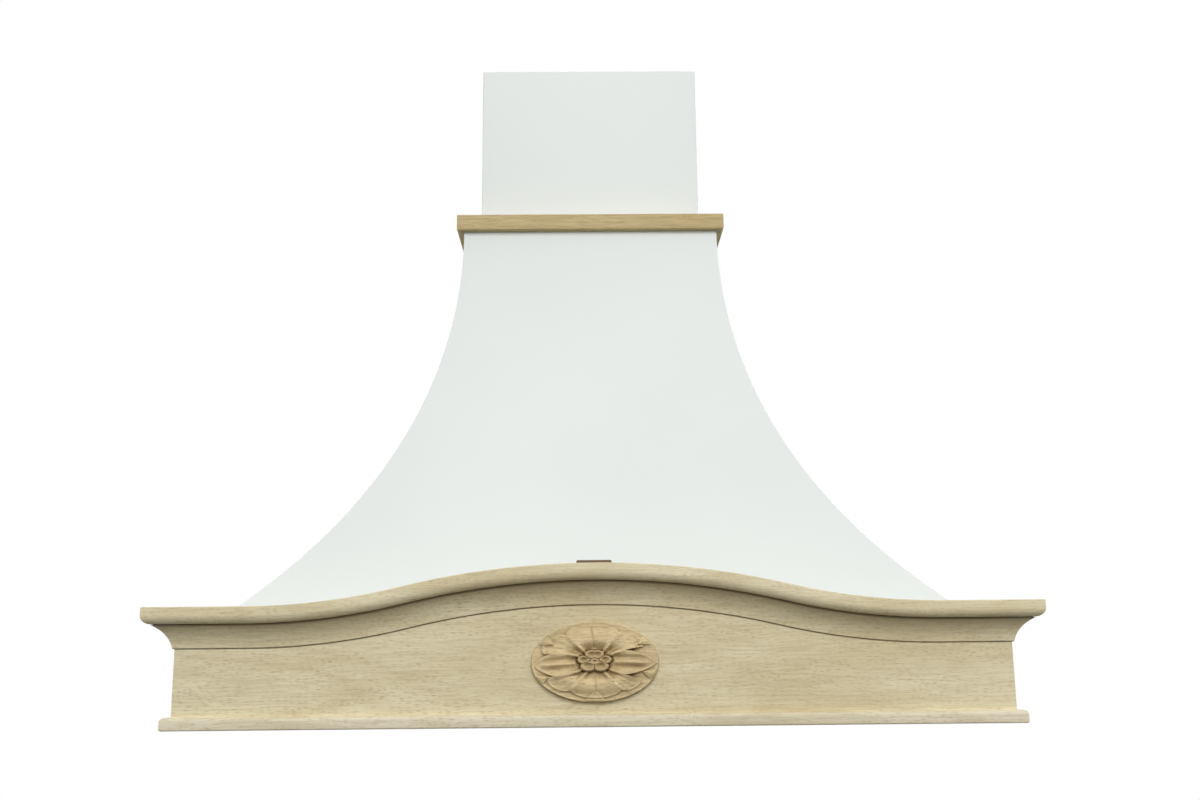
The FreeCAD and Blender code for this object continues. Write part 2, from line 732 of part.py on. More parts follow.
BRACKET_FOOT = f"({CHIMNEY_TOP} - bracket_drop - bracket_tall)"

bracket = body("chimney_bracket")
ARM = f"({CHIMNEY_HALF} - sheet)"
PLATE_END = f"({TURN_IN} - bracket_side_gap)"
half_strip = [
    (PLATE_END, "0"), (PLATE_END, "-(bracket_jog - bracket_sheet)"),
    (ARM, "-(bracket_jog - bracket_sheet)"), (ARM, "-bracket_arm"),
    (f"{ARM} - bracket_sheet", "-bracket_arm"), (f"{ARM} - bracket_sheet", "-bracket_jog"),
    (f"{PLATE_END} - bracket_sheet", "-bracket_jog"),
    (f"{PLATE_END} - bracket_sheet", "-bracket_sheet")]
pad(bracket, "XY", BRACKET_FOOT, "bracket_tall", half_strip + flip(half_strip, -1)[::-1])
drill(bracket, "XZ", "-1", "bracket_sheet + 2",
      [(f"{side} * bracket_hole_spacing / 2", f"{BRACKET_FOOT} + bracket_tall / 2")
       for _name, side in SIDES], "bracket_hole")

# ---------------------------------------------------------------- lower tray
HINGE_BACK = "(filter_back + hinge_set_back)"
HINGE_HEIGHT = "(tray_height + hinge_rise)"
SWING = "sqrt(hinge_set_back * hinge_set_back + hinge_rise * hinge_rise)"
REAR_EDGE = f"({HINGE_BACK} - {SWING} - moving_gap)"
FILTER_FRONT = "(filter_back + filter_depth)"
FRONT_EDGE = f"({FILTER_FRONT} + filter_gap)"
OPENING = "(filter_width / 2 + filter_gap)"

tray = body("liner_tray")
pad(tray, "XY", "tray_height", "tray_sheet",
    box(f"-({INNER} - tray_gap)", f"-({INNER_FRONT} - tray_gap)",
        f"{INNER} - tray_gap", "-(rail_thick + tray_gap)"))
for _name, side in SIDES:
    middle = f"{side} * filter_spacing / 2"
    cut(tray, "XY", "tray_height", "tray_sheet",
        box(f"{middle} - {OPENING}", f"-{FRONT_EDGE}", f"{middle} + {OPENING}", f"-{REAR_EDGE}"))
    cut(tray, "XY", "tray_height", "tray_sheet",
        box(f"{middle} - latch_tongue / 2 - filter_gap / 2",
            f"-({FILTER_FRONT} + latch_reach + filter_gap / 2)",
            f"{middle} + latch_tongue / 2 + filter_gap / 2", f"-({FRONT_EDGE} - filter_gap / 2)"))
    drill(tray, "XY", "tray_height", "tray_sheet",
          [(f"{side} * lamp_spacing / 2", "-lamp_back")], "lamp_round + moving_gap")
    for _end, edge in SIDES:
        start = f"{middle} + {OPENING}" if edge > 0 else f"{middle} - {OPENING} - ear_sheet"
        ear = [(f"-({HINGE_BACK} + ear_half)", TRAY_TOP),
               (f"-({HINGE_BACK} - ear_half)", TRAY_TOP),
               (f"-({HINGE_BACK} - ear_half)", HINGE_HEIGHT),
               (f"-({HINGE_BACK} - ear_half / 2)", f"{HINGE_HEIGHT} + ear_half"),
               (f"-({HINGE_BACK} + ear_half / 2)", f"{HINGE_HEIGHT} + ear_half"),
               (f"-({HINGE_BACK} + ear_half)", HINGE_HEIGHT)]
        pad(tray, "YZ", start, "ear_sheet", ear)
        drill(tray, "YZ", start, "ear_sheet", [(f"-{HINGE_BACK}", HINGE_HEIGHT)],
              "hinge_pin + running_gap")
cut(tray, "XY", "tray_height", "tray_sheet",
    middle_box("0", "-switch_back", "switch_cutout", "(slider_foot + slider_room * 2)"))

# ---------------------------------------------------------------- filters
LATCH_FOOT = "(tray_height + latch_rise)"              # underside of the sliding plate
LATCH_FACE = f"({FILTER_FRONT} - latch_set_back)"      # front edge of the sliding plate
LATCH_REAR = f"({LATCH_FACE} - latch_depth)"
for name, side in SIDES:
    shift = (f"{side} * filter_spacing / 2", "0", "0")
    frame = body(f"filter_frame_{name}", shift)
    pad(frame, "XY", "tray_height", "filter_thick",
        box("-filter_width / 2", f"-{FILTER_FRONT}", "filter_width / 2", "-filter_back"))
    cut(frame, "XY", "tray_height", "filter_thick",
        box("-(filter_width / 2 - filter_border)", f"-({FILTER_FRONT} - filter_front_border)",
            "filter_width / 2 - filter_border", "-(filter_back + filter_border)"))
    for _end, edge in SIDES:
        start = "filter_width / 2" if edge > 0 else "-(filter_width / 2 + hinge_reach)"
        pad_round(frame, "YZ", start, "hinge_reach", [(f"-{HINGE_BACK}", HINGE_HEIGHT)],
                  "hinge_pin")
    recess_rear = f"-({LATCH_REAR} - latch_travel - moving_gap)"
    cut(frame, "XY", "tray_height", "filter_thick / 2",
        box("-(latch_grip / 2 + moving_gap)", f"-({LATCH_FACE} + moving_gap)",
            "latch_grip / 2 + moving_gap", recess_rear))
    cut(frame, "XY", f"{LATCH_FOOT} - moving_gap", "latch_thick + moving_gap * 2",
        box("-(latch_width / 2 + moving_gap)", f"-({LATCH_FACE} + moving_gap)",
            "latch_width / 2 + moving_gap", recess_rear))
    cut(frame, "XY", f"{LATCH_FOOT} - moving_gap", "latch_thick + moving_gap * 2",
        box("-(latch_tongue / 2 + moving_gap)", f"-({FILTER_FRONT} + latch_set_back)",
            "latch_tongue / 2 + moving_gap", f"-({LATCH_REAR})"))

    # two rows of channels, the upper row turned over and set half a pitch across, so that
    # the air turns twice on its way through
    baffles = body(f"filter_baffles_{name}", shift)
    low, high = "(tray_height + baffle_inset)", "(tray_height + filter_thick - baffle_inset)"
    for start in ("filter_back + filter_border",
                  f"{FILTER_FRONT} - filter_front_border - baffle_sheet"):
        pad(baffles, "XZ", start, "baffle_sheet",
            box("-(filter_width / 2 - filter_border)", low,
                "filter_width / 2 - filter_border", high))
    for row, (flat, turn, extra) in enumerate(((low, 1, 0), (high, -1, 1))):
        first = f"-baffle_pitch * (baffle_count - 1 - {extra}) / 2"
        edge, lip, inner = "baffle_width / 2", f"{turn} * baffle_lip", f"{turn} * baffle_sheet"
        channel = [
            (f"{first} - {edge}", flat), (f"{first} + {edge}", flat),
            (f"{first} + {edge}", f"{flat} + {lip}"),
            (f"{first} + {edge} - baffle_sheet", f"{flat} + {lip}"),
            (f"{first} + {edge} - baffle_sheet", f"{flat} + {inner}"),
            (f"{first} - {edge} + baffle_sheet", f"{flat} + {inner}"),
            (f"{first} - {edge} + baffle_sheet", f"{flat} + {lip}"),
            (f"{first} - {edge}", f"{flat} + {lip}")]
        bar = pad(baffles, "XZ", "filter_back + filter_border",
                  "filter_depth - filter_border - filter_front_border", channel)
        across = baffles.newObject("PartDesign::LinearPattern", f"{baffles.Label}_row")
        across.Originals = [bar]
        axis = [item for item in baffles.Origin.OriginFeatures if item.Role == "X_Axis"][0]
        across.Direction = (axis, [""])
        across.setExpression("Length", bound(f"baffle_pitch * (baffle_count - 1 - {extra})"))
        across.setExpression("Occurrences", bound(f"baffle_count - {extra}"))
        baffles.Tip = across

    latch = body(f"latch_{name}", shift)
    pad(latch, "XY", LATCH_FOOT, "latch_thick",
        box("-latch_width / 2", f"-{LATCH_FACE}", "latch_width / 2", f"-{LATCH_REAR}"))
    pad(latch, "XY", LATCH_FOOT, "latch_thick",
        box("-latch_tongue / 2", f"-({FILTER_FRONT} + latch_reach)",
            "latch_tongue / 2", f"-{LATCH_REAR}"))
    pad(latch, "XY", "tray_height + latch_grip_inset", "latch_rise - latch_grip_inset",
        box("-latch_grip / 2", f"-{LATCH_FACE}", "latch_grip / 2", f"-{LATCH_REAR}"))

# ---------------------------------------------------------------- lamps and switches
RIM_FOOT = "(tray_height - lamp_rim_thick)"
for name, side in SIDES:
    shift = (f"{side} * lamp_spacing / 2", "-lamp_back", "0")
    lamp = body(f"lamp_housing_{name}", shift)
    centre = [("0", "0")]
    pad_round(lamp, "XY", RIM_FOOT, "lamp_rim_thick", centre, "lamp_rim")
    pad_round(lamp, "XY", RIM_FOOT, "lamp_rim_thick + lamp_tall", centre, "lamp_round")
    drill(lamp, "XY", RIM_FOOT, "lamp_rim_thick + lamp_tall - lamp_wall", centre,
          "lamp_round - lamp_wall")
    lens = body(f"lamp_lens_{name}", shift)
    pad_round(lens, "XY", f"{RIM_FOOT} + lens_inset", "lens_thick", centre,
              "lamp_round - lamp_wall")

PLATE_UNDER = "(tray_height - switch_thick)"
SLOT_GAP = "(slot_width - moving_gap * 2)"
panel = body("switch_plate")
pad(panel, "XY", PLATE_UNDER, "switch_thick",
    middle_box("0", "-switch_back", "switch_width", "switch_depth"))
for place, travel in (("speed_place", "speed_travel"), ("lamp_switch_place", "lamp_travel")):
    cut(panel, "XY", PLATE_UNDER, "switch_thick",
        box(f"{place} - slider_stem / 2 - moving_gap", "-switch_back - slot_width / 2",
            f"{place} + {travel} + slider_stem / 2 + moving_gap", "-switch_back + slot_width / 2"))
for name, place in (("speed_slider", "speed_place"), ("lamp_switch", "lamp_switch_place")):
    knob = body(name)
    pad(knob, "XY", f"{PLATE_UNDER} - moving_gap - knob_tall", "knob_tall",
        middle_box(place, "-switch_back", "knob_width", "knob_depth"))
    pad(knob, "XY", f"{PLATE_UNDER} - moving_gap", "switch_thick + moving_gap * 2",
        middle_box(place, "-switch_back", "slider_stem", SLOT_GAP))
    pad(knob, "XY", "tray_height + moving_gap", "slider_foot_thick",
        middle_box(place, "-switch_back", "slider_stem", "slider_foot"))

# ---------------------------------------------------------------- fan
# Drawn about the shaft, which lies along X.  The scroll's wall runs through three quarter
# arcs whose centres step round a small square, so that it opens evenly towards the outlet.
FAN = ("0", "-fan_back", "fan_height")
STEP = "(scroll_step / 2)"
FIRST, SECOND, THIRD = ("scroll_start", "(scroll_start + scroll_step)",
                        "(scroll_start + scroll_step * 2)")


def scroll(wall, top):
    return [
        (f"cutoff_place - {wall}", top),
        (f"cutoff_place - {wall}", f"{FIRST} - {STEP} + {wall}"),
        (f"-{STEP}", f"{FIRST} - {STEP} + {wall}", f"{FIRST} + {wall}", 1),
        (f"-({STEP} + {FIRST} + {wall})", f"-{STEP}", f"{SECOND} + {wall}", 1),
        (STEP, f"-({STEP} + {SECOND} + {wall})", f"{THIRD} + {wall}", 1),
        (f"{STEP} + {THIRD} + {wall}", STEP),
        (f"{STEP} + {THIRD} + {wall}", top),
    ]


axle = [("0", "0")]
housing = body("blower_housing", FAN)
pad(housing, "YZ", "-fan_half_width", "fan_half_width * 2", scroll("fan_wall", "outlet_rise"))
cut(housing, "YZ", "-(fan_half_width - fan_wall)", "(fan_half_width - fan_wall) * 2",
    scroll("0", "outlet_rise + 5"))
drill(housing, "YZ", "-(fan_half_width + 1)", "fan_half_width * 2 + 2", axle, "inlet_round")

motor = body("motor", FAN)
pad_round(motor, "YZ", "motor_start", "fan_half_width - motor_start", axle, "motor_end_round")
pad_round(motor, "YZ", "motor_start + motor_step", "fan_half_width - motor_start - motor_step * 2",
          axle, "motor_round")
drill(motor, "YZ", "motor_start", "motor_bore_depth", axle, "shaft_round + running_gap")

spider = body("motor_bracket", FAN)
pad_round(spider, "YZ", "fan_half_width", "bracket_sheet", axle, "inlet_round + ring_outside",
          "inlet_round - ring_inside")
pad_round(spider, "YZ", "fan_half_width", "bracket_sheet", axle, "bracket_hub")
for index in range(3):
    angle = math.radians(90 + 120 * index)
    along, up = math.cos(angle), math.sin(angle)
    spoke = []
    inside, outside = "(bracket_hub - ring_inside)", "(inlet_round - ring_inside / 2)"
    for reach, half in ((inside, 0.5), (inside, -0.5), (outside, -0.5), (outside, 0.5)):
        spoke.append((f"{reach} * ({along:.6f}) - bracket_spoke * ({half * up:.6f})",
                      f"{reach} * ({up:.6f}) + bracket_spoke * ({half * along:.6f})"))
    pad(spider, "YZ", "fan_half_width", "bracket_sheet", spoke)

wheel = body("impeller", FAN)
pad_round(wheel, "YZ", "-wheel_plate", "wheel_plate * 2", axle, "wheel_outer", "shaft_round")
pad_round(wheel, "YZ", "-hub_start", "hub_long", axle, "hub_round", "shaft_round")
# forward-curved blades, pressed with one fold: radial at the inner edge and leaning the way
# the wheel turns at the outer one
BLADE_IN, BLADE_OUT = "(wheel_inner + blade_inset)", "(wheel_outer - blade_inset)"
LEAN_IN, LEAN_FOLD, LEAN_OUT = -5, -1.5, 6


def rim_point(radius, lean, aside):
    """A point of the blade on one of the wheel's circles, moved round by a thickness."""
    turned = f"({lean} deg + {aside} / {radius} * 180 deg / pi)"
    return (f"{radius} * cos({turned})", f"{radius} * sin({turned})")


edge = ((BLADE_IN, LEAN_IN), (f"({BLADE_IN} + {BLADE_OUT}) / 2", LEAN_FOLD), (BLADE_OUT, LEAN_OUT))
blade = [rim_point(radius, lean, "0") for radius, lean in edge]
blade += [rim_point(radius, lean, "blade_thick") for radius, lean in edge[::-1]]
vane = pad(wheel, "YZ", "-wheel_half_width", "wheel_half_width * 2", blade)
vanes = wheel.newObject("PartDesign::PolarPattern", "impeller_vanes")
vanes.Originals = [vane]
vanes.Axis = ([item for item in wheel.Origin.OriginFeatures if item.Role == "X_Axis"][0], [""])
vanes.Angle = 360
vanes.setExpression("Occurrences", bound("blade_count"))
wheel.Tip = vanes
for start in ("-wheel_half_width", "wheel_half_width - wheel_ring"):
    pad_round(wheel, "YZ", start, "wheel_ring", axle, "wheel_outer", "wheel_inner")

shaft = body("fan_shaft", FAN)
pad_round(shaft, "YZ", "-shaft_tail", "shaft_tail + motor_start + shaft_bite", axle,
          "shaft_round")

# ---------------------------------------------------------------- duct
OUTLET_TOP = "(fan_height + outlet_rise)"
BORE = "(duct_outer - duct_wall)"


# a folded funnel that opens from the scroll's outlet to a flat top with the round hole
OUTLET_FRONT = "(fan_back - cutoff_place + fan_wall)"
OUTLET_REAR = f"(fan_back - {STEP} - {THIRD} - fan_wall)"
FLARED = "(fan_half_width + duct_flare)"
transition = body("duct_transition")
pad(transition, "XZ", f"{OUTLET_REAR} - duct_flare",
    f"{OUTLET_FRONT} - {OUTLET_REAR} + duct_flare * 2",
    [("-fan_half_width", OUTLET_TOP), ("fan_half_width", OUTLET_TOP),
     (FLARED, FLANGE_FOOT), (f"-{FLARED}", FLANGE_FOOT)])
for low, high in ((OUTLET_FRONT, f"({OUTLET_FRONT} + duct_flare)"),
                  (OUTLET_REAR, f"({OUTLET_REAR} - duct_flare)")):
    funnel = cut(transition, "YZ", f"-{FLARED}", f"{FLARED} * 2",
                 [(f"-{low}", OUTLET_TOP), (f"-{high}", FLANGE_FOOT), (f"-{high}", OUTLET_TOP)])
doc.recompute()
lowest = min(range(len(funnel.Shape.Faces)),
             key=lambda index: funnel.Shape.Faces[index].CenterOfMass.z)
shell = transition.newObject("PartDesign::Thickness", "duct_transition_shell")
shell.Base = (funnel, [f"Face{lowest + 1}"])
shell.Reversed = True
shell.setExpression("Value", bound("fan_wall"))
transition.Tip = shell
drill(transition, "XY", f"{FLANGE_FOOT} - fan_wall", "fan_wall", [("0", "-duct_back")], BORE)

spigot = body("outlet_spigot", ("0", "-duct_back", FLANGE_FOOT))
SPIGOT_TALL = "(duct_wall + tray_sheet + duct_rise)"
FLAP_AXIS = "(duct_wall + tray_sheet + flap_height)"
pad_round(spigot, "XY", "0", "duct_wall", axle, "duct_flange")
pad_round(spigot, "XY", "0", "duct_wall + tray_sheet + duct_shoulder_rise", axle,
          "duct_outer + duct_shoulder")
pad_round(spigot, "XY", "0", SPIGOT_TALL, axle, "duct_outer")
drill(spigot, "XY", "0", SPIGOT_TALL, axle, BORE)
drill(spigot, "YZ", "-(duct_outer + 1)", "duct_outer * 2 + 2", [("0", FLAP_AXIS)], "flap_pin")
for _name, side in SIDES:
    low, high = f"{side} * (duct_outer - duct_wall / 2)", f"{side} * ({BORE} - stop_reach)"
    low, high = (high, low) if side > 0 else (low, high)
    pad(spigot, "XY", f"{FLAP_AXIS} - flap_thick / 2 - moving_gap - stop_thick", "stop_thick",
        box("-stop_half", low, "stop_half", high))

pin = body("flap_pin", ("0", "-duct_back", FLANGE_FOOT))
pad_round(pin, "YZ", "-(duct_outer - pin_inset)", "(duct_outer - pin_inset) * 2",
          [("0", FLAP_AXIS)], "flap_pin")

ROOT = "(knuckle_round + knuckle_neck)"
FLAP_ROUND = f"({BORE} - flap_gap)"
CHORD = f"sqrt({FLAP_ROUND} * {FLAP_ROUND} - {ROOT} * {ROOT})"
OUTER_KNUCKLES = (("-duct_outer / 2 - knuckle_long", "knuckle_long"),
                  ("duct_outer / 2", "knuckle_long"))
INNER_KNUCKLE = (("-knuckle_long", "knuckle_long * 2"),)
for name, side, knuckles in (("front", -1, OUTER_KNUCKLES), ("rear", 1, INNER_KNUCKLE)):
    flap = body(f"flap_{name}", ("0", "-duct_back", FLANGE_FOOT))
    pad(flap, "XY", f"{FLAP_AXIS} - flap_thick / 2", "flap_thick",
        [(CHORD, f"{side} * {ROOT}", FLAP_ROUND, side), (f"-{CHORD}", f"{side} * {ROOT}")])
    for place, width in knuckles:
        near, far = f"{side} * (flap_pin + knuckle_neck)", f"{side} * ({ROOT} + knuckle_neck)"
        near, far = (near, far) if side > 0 else (far, near)
        pad(flap, "XY", f"{FLAP_AXIS} - flap_thick / 2", "flap_thick",
            box(place, near, f"{place} + {width}", far))
        pad_round(flap, "YZ", place, width, [("0", FLAP_AXIS)], "knuckle_round",
                  "flap_pin + running_gap")

terminal = body("terminal_box")
pad(terminal, "XZ", "sheet", "terminal_deep",
    box("terminal_place - terminal_width / 2", "terminal_height",
        "terminal_place + terminal_width / 2", "terminal_height + terminal_tall"))
drill(terminal, "XY", "terminal_height", "terminal_tall / 3",
      [("terminal_place", "-sheet - terminal_deep / 2")], "cable_hole")

# ---------------------------------------------------------------- check and write
doc.recompute()
for item in doc.Objects:
    faults = {"Invalid", "Error"} & set(item.State)
    if faults:
        raise RuntimeError(f"{item.Label}: {faults}")
for part in nodes:
    if part.Shape.isNull() or not part.Shape.isValid() or not part.Shape.Solids:
        raise RuntimeError(f"{part.Label} has no valid shape")
for part in nodes:
    part.Shape.exportStep(f"parts/{part.Label}.step")
print(len(nodes), "parts written")
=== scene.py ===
"""Looks for a wall chimney hood: raw beech frame and collar, white sheet metal dome and flue.

Metres throughout.  X runs to the right, Y into the wall and Z up.  The wall is Y = 0 and the
underside of the wooden frame is Z = 0, on the centre line.
"""

import math

import bpy
import numpy as np
from mathutils import Matrix, Vector


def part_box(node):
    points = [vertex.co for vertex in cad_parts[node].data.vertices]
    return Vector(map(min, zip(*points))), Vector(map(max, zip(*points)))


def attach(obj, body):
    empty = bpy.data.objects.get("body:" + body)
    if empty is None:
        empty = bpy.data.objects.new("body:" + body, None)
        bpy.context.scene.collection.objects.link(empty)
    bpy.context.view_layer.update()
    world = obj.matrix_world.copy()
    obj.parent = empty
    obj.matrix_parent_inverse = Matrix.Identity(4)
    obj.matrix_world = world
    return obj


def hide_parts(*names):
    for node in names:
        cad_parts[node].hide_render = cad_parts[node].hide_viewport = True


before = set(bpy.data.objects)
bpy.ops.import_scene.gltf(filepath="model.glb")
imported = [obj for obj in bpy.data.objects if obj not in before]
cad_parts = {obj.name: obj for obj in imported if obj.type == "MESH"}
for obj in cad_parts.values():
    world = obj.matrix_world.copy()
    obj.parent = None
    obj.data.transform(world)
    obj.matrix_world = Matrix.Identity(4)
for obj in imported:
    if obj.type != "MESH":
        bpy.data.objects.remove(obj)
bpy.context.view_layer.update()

bl_info = {
    "name": "Chimney hood",
    "version": (1, 0, 0),
    "blender": (4, 5, 0),
    "location": "View3D > Sidebar > Hood",
    "description": "Wood, sheet metal and carving of a wall chimney hood",
    "category": "Add Mesh",
}

MM = 0.001
HOOD = "hood"
SIDES = (("left", -1), ("right", 1))


def shade(red, green, blue):
    """Screen values from 0 to 255 as the linear colour that a shader takes."""
    parts = [value / 255 for value in (red, green, blue)]
    return tuple(p / 12.92 if p <= 0.04045 else ((p + 0.055) / 1.055) ** 2.4 for p in parts)


def length(name, default, note):
    """A size in metres, whose default is given in millimetres."""
    return bpy.props.FloatProperty(name=name, description=note, default=default * MM, min=0,
                                   unit="LENGTH", subtype="DISTANCE")


def tint(name, default, note):
    """A colour, whose default is given as screen values from 0 to 255."""
    return bpy.props.FloatVectorProperty(name=name, description=note, default=shade(*default),
                                         size=3, min=0, max=1, subtype="COLOR")


def number(name, default, note, **more):
    """A number, plain or with limits and a unit."""
    return bpy.props.FloatProperty(name=name, description=note, default=default, **more)


# ---- sizes and colours
class HoodFrame(bpy.types.PropertyGroup):
    half_width: length("Half width", 450, "Centre line to the outer face of a side board")
    depth: length("Depth", 480, "Wall to the front face of the front board")
    cornice_foot: length("Cornice foot", 85, "Height of the cornice's lower line")
    cornice_height: length("Cornice height", 43.4, "Height of the moulding")
    cornice_reach: length("Cornice reach", 29.5, "How far the moulding stands out")
    crown_height: length("Crown height", 17.7, "Cornice's top down to its groove")
    crown_round: length("Crown round", 9, "Radius under the crown")
    crown_ease: length("Crown ease", 1.2, "Radius of the crown's upper edge")
    groove_width: length("Groove width", 0.8, "Height of the groove under the crown")
    groove_back: length("Groove back", 18.8, "Reach of the groove's deepest part")
    cove_reach: length("Cove reach", 20.8, "Reach of the cove's upper end")
    cove_radius: length("Cove radius", 33, "Radius of the cove")
    foot_flat: length("Foot flat", 0.4, "Level part under the cornice's foot")
    foot_ease: length("Foot ease", 1.9, "Radius of the cornice's foot")
    arch_rise: length("Arch rise", 43, "How far the middle of the arch rises")
    arch_half_run: length("Arch half run", 371, "Centre line to where the arch starts")
    crest_run: length("Crest run", 199, "Centre line to where the two arcs meet")
    base_height: length("Base height", 13.5, "Height of the strip under the boards")
    base_nose: length("Base nose", 9.5, "How far that strip stands out")
    base_foot_round: length("Base foot round", 2, "Radius of its lower edge")
    base_top_round: length("Base top round", 4.5, "Radius of its upper edge")
    board_thick: length("Board", 20, "Thickness of the boards")
    crest_half_width: length("Crest half width", 19.5, "Half the brown block's width")
    crest_shown: length("Crest shown", 6.8, "How far it stands over the arch")
    crest_height: length("Crest height", 42, "Height of the block")
    crest_ease: length("Crest ease", 1.6, "Radius of its upper corners")
    beech_light: tint("Beech, light", (228, 218, 184), "Pale wood between the flecks")
    beech_dark: tint("Beech, dark", (214, 201, 163), "Darker bands of the wood")
    strip_light: tint("Strip, light", (230, 222, 195), "Pale wood of the strip")
    strip_dark: tint("Strip, dark", (218, 208, 178), "Darker bands of the strip")
    fleck: tint("Fleck", (170, 146, 106), "Short ray flecks")
    inner_light: tint("Inner wood, light", (228, 210, 170), "Planed inner battens")
    inner_dark: tint("Inner wood, dark", (208, 183, 138), "Bands of the inner battens")
    # Colour of the painted shade in the cornice's groove, over the cove's top and under its foot.
    crease: tint("Crease", (98, 82, 52), "Groove and foot of the cornice")
    stain: tint("Stained wood", (112, 92, 68), "Brown block behind the crest")


class HoodRosette(bpy.types.PropertyGroup):
    half_width: length("Half width", 68.3, "Half the oval's width")
    half_height: length("Half height", 41.8, "Half the oval's height")
    height: length("Height", 67.5, "Height of the oval's middle")
    ground: length("Ground", 4, "Thickness under the carving")
    relief: length("Relief", 8.968, "Height of the knot over the ground")
    light: tint("Light", (227, 206, 158), "Raised parts of the carving")
    # Besides the flecks, this colour is blended in as painted shade and stain in the carving's
    # hollow places, and half way at its rim as a painted shadow line.
    dark: tint("Dark", (104, 76, 40), "Deep parts of the carving")


class HoodDome(bpy.types.PropertyGroup):
    neck_half_width: length("Neck half width", 165, "Half the dome's width at the top")
    neck_depth: length("Neck depth", 281, "Wall to the dome's front at the top")
    top: length("Top", 622.8, "Height of the dome's top")
    foot: length("Foot", 105, "Height where the flare ends")
    skirt_foot: length("Skirt", 85, "Height of the skirt's lower edge")
    sheet: length("Sheet", 1.2, "Thickness of the sheet")
    coat: tint("Coat", (226, 231, 228), "White powder coat")


class HoodCollar(bpy.types.PropertyGroup):
    half_width: length("Half width", 174, "Half the collar's width")
    depth: length("Depth", 290, "Wall to the collar's front")
    board: length("Board", 50, "Width of the collar's boards")
    thick: length("Thickness", 20.7, "Thickness of the collar")
    ease: length("Ease", 1.5, "Radius of its outer edges")
    wood_light: tint("Light", (198, 179, 132), "Pale lines of the collar's wood")
    wood_dark: tint("Dark", (190, 169, 120), "Dark lines of the collar's wood")


class HoodFlue(bpy.types.PropertyGroup):
    half_width: length("Half width", 145, "Half the flue cover's width")
    depth: length("Depth", 250, "Wall to the flue cover's front")
    foot: length("Foot", 643.5, "Height of its lower edge")
    top: length("Top", 863.7, "Height of its upper edge")
    bend: length("Bend", 2, "Outer radius of its folds")
    back_edge: length("Returns", 12, "Width of the edges turned in at the wall")


class HoodMetal(bpy.types.PropertyGroup):
    zinc: tint("Zinc", (184, 189, 192), "Galvanised sheet")
    tray: tint("Tray", (214, 216, 215), "Coat of the lower tray")
    filter: tint("Filter", (182, 184, 187), "Aluminium filters")
    steel: tint("Steel", (186, 186, 188), "Ground shafts and screws")
    black: tint("Black", (38, 38, 40), "Black mouldings")
    grey: tint("Grey", (150, 152, 154), "Grey mouldings")
    lens: tint("Lens", (244, 245, 240), "Frosted lamp glass")


class HoodStage(bpy.types.PropertyGroup):
    eye: bpy.props.FloatVectorProperty(
        name="Eye", description="Place of the camera", size=3, subtype="TRANSLATION",
        default=(-0.00899, -1.90119, 0.05324))
    pitch: number("Pitch", 0.2089, "Upward tilt of the camera", subtype="ANGLE")
    yaw: number("Yaw", 0.0120, "Turn of the camera to the right", subtype="ANGLE")
    roll: number("Roll", -0.0095, "Roll of the camera", subtype="ANGLE")
    lens: number("Lens", 39.0, "Focal length in millimetres", min=1)
    floor: number("Floor", -3.0, "Height of the floor", unit="LENGTH", subtype="DISTANCE")
    ambient: number("Ambient", 0.30, "Light from all round", min=0)
    key: number("Key", 166, "Power of the front light in watts", min=0)


GROUPS = {"hood_frame": HoodFrame, "hood_rosette": HoodRosette, "hood_dome": HoodDome,
          "hood_collar": HoodCollar, "hood_flue": HoodFlue, "hood_metal": HoodMetal,
          "hood_stage": HoodStage}


# ---- surfaces
def arc(across, up, radius, start, end, count=9):
    """Points on a circle: its middle plus the radius times cosine and sine of even angles."""
    angles = np.radians(np.linspace(start, end, count))
    return np.stack([across + radius * np.cos(angles), up + radius * np.sin(angles)], 1)


def path(*parts):
    """One outline from corners and arcs, laid end to end."""
    return np.concatenate([np.atleast_2d(part) for part in parts])


def tube_faces(stations, ring):
    """Four-sided faces between each two rings of points, and a flat face over each end."""
    first = (np.arange(stations - 1) * ring)[:, None] + np.arange(ring)
    beside = (np.arange(stations - 1) * ring)[:, None] + (np.arange(ring) + 1) % ring
    quads = np.stack([first, beside, beside + ring, first + ring], -1).reshape(-1, 4)
    last = (stations - 1) * ring
    return quads, [list(range(ring))[::-1], list(range(last, last + ring))]


def volume(points, quads):
    """Six times the signed volume under four-sided faces: the sum of a . (b x c) over them."""
    a, b, c, d = (points[quads[:, side]] for side in range(4))
    return np.einsum("ij,ij->", a, np.cross(b, c)) + np.einsum("ij,ij->", a, np.cross(c, d))


def placed(name, content):
    """A new object in the scene."""
    made = bpy.data.objects.new(name, content)
    bpy.context.scene.collection.objects.link(made)
    return made


def add_piece(name, points, quads, caps, finish, replaced, sharp=38.0):
    """A closed mesh whose faces point outward, riding on the hood."""
    points = np.asarray(points, float).reshape(-1, 3)
    faces = quads.tolist() + caps
    middle = points.mean(0)
    if volume(points - middle, quads) < 0:
        faces = [face[::-1] for face in faces]
    mesh = bpy.data.meshes.new(name)
    mesh.from_pydata(points.tolist(), [], faces)
    mesh.shade_smooth()
    mesh.set_sharp_from_angle(angle=math.radians(sharp))
    mesh.materials.append(finish)
    mesh.update()
    piece = placed(name, mesh)
    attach(piece, HOOD)
    if replaced:
        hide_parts(*replaced)
    return piece


def add_tube(name, rings, finish, replaced, sharp=38.0):
    """A piece from rings of points, shaped (stations, points in a ring, 3)."""
    quads, caps = tube_faces(*np.shape(rings)[:2])
    return add_piece(name, rings, quads, caps, finish, replaced, sharp)


def mark_depth(piece, shown):
    """Give each point of a piece how open it lies, which sets how much painted shade, and on the
    carving stain, it takes: 1 on open parts and 0 in hollow places.
    """
    carved = piece.data.attributes.new("carved", "FLOAT", "POINT")
    carved.data.foreach_set("value", shown.astype(np.float32))


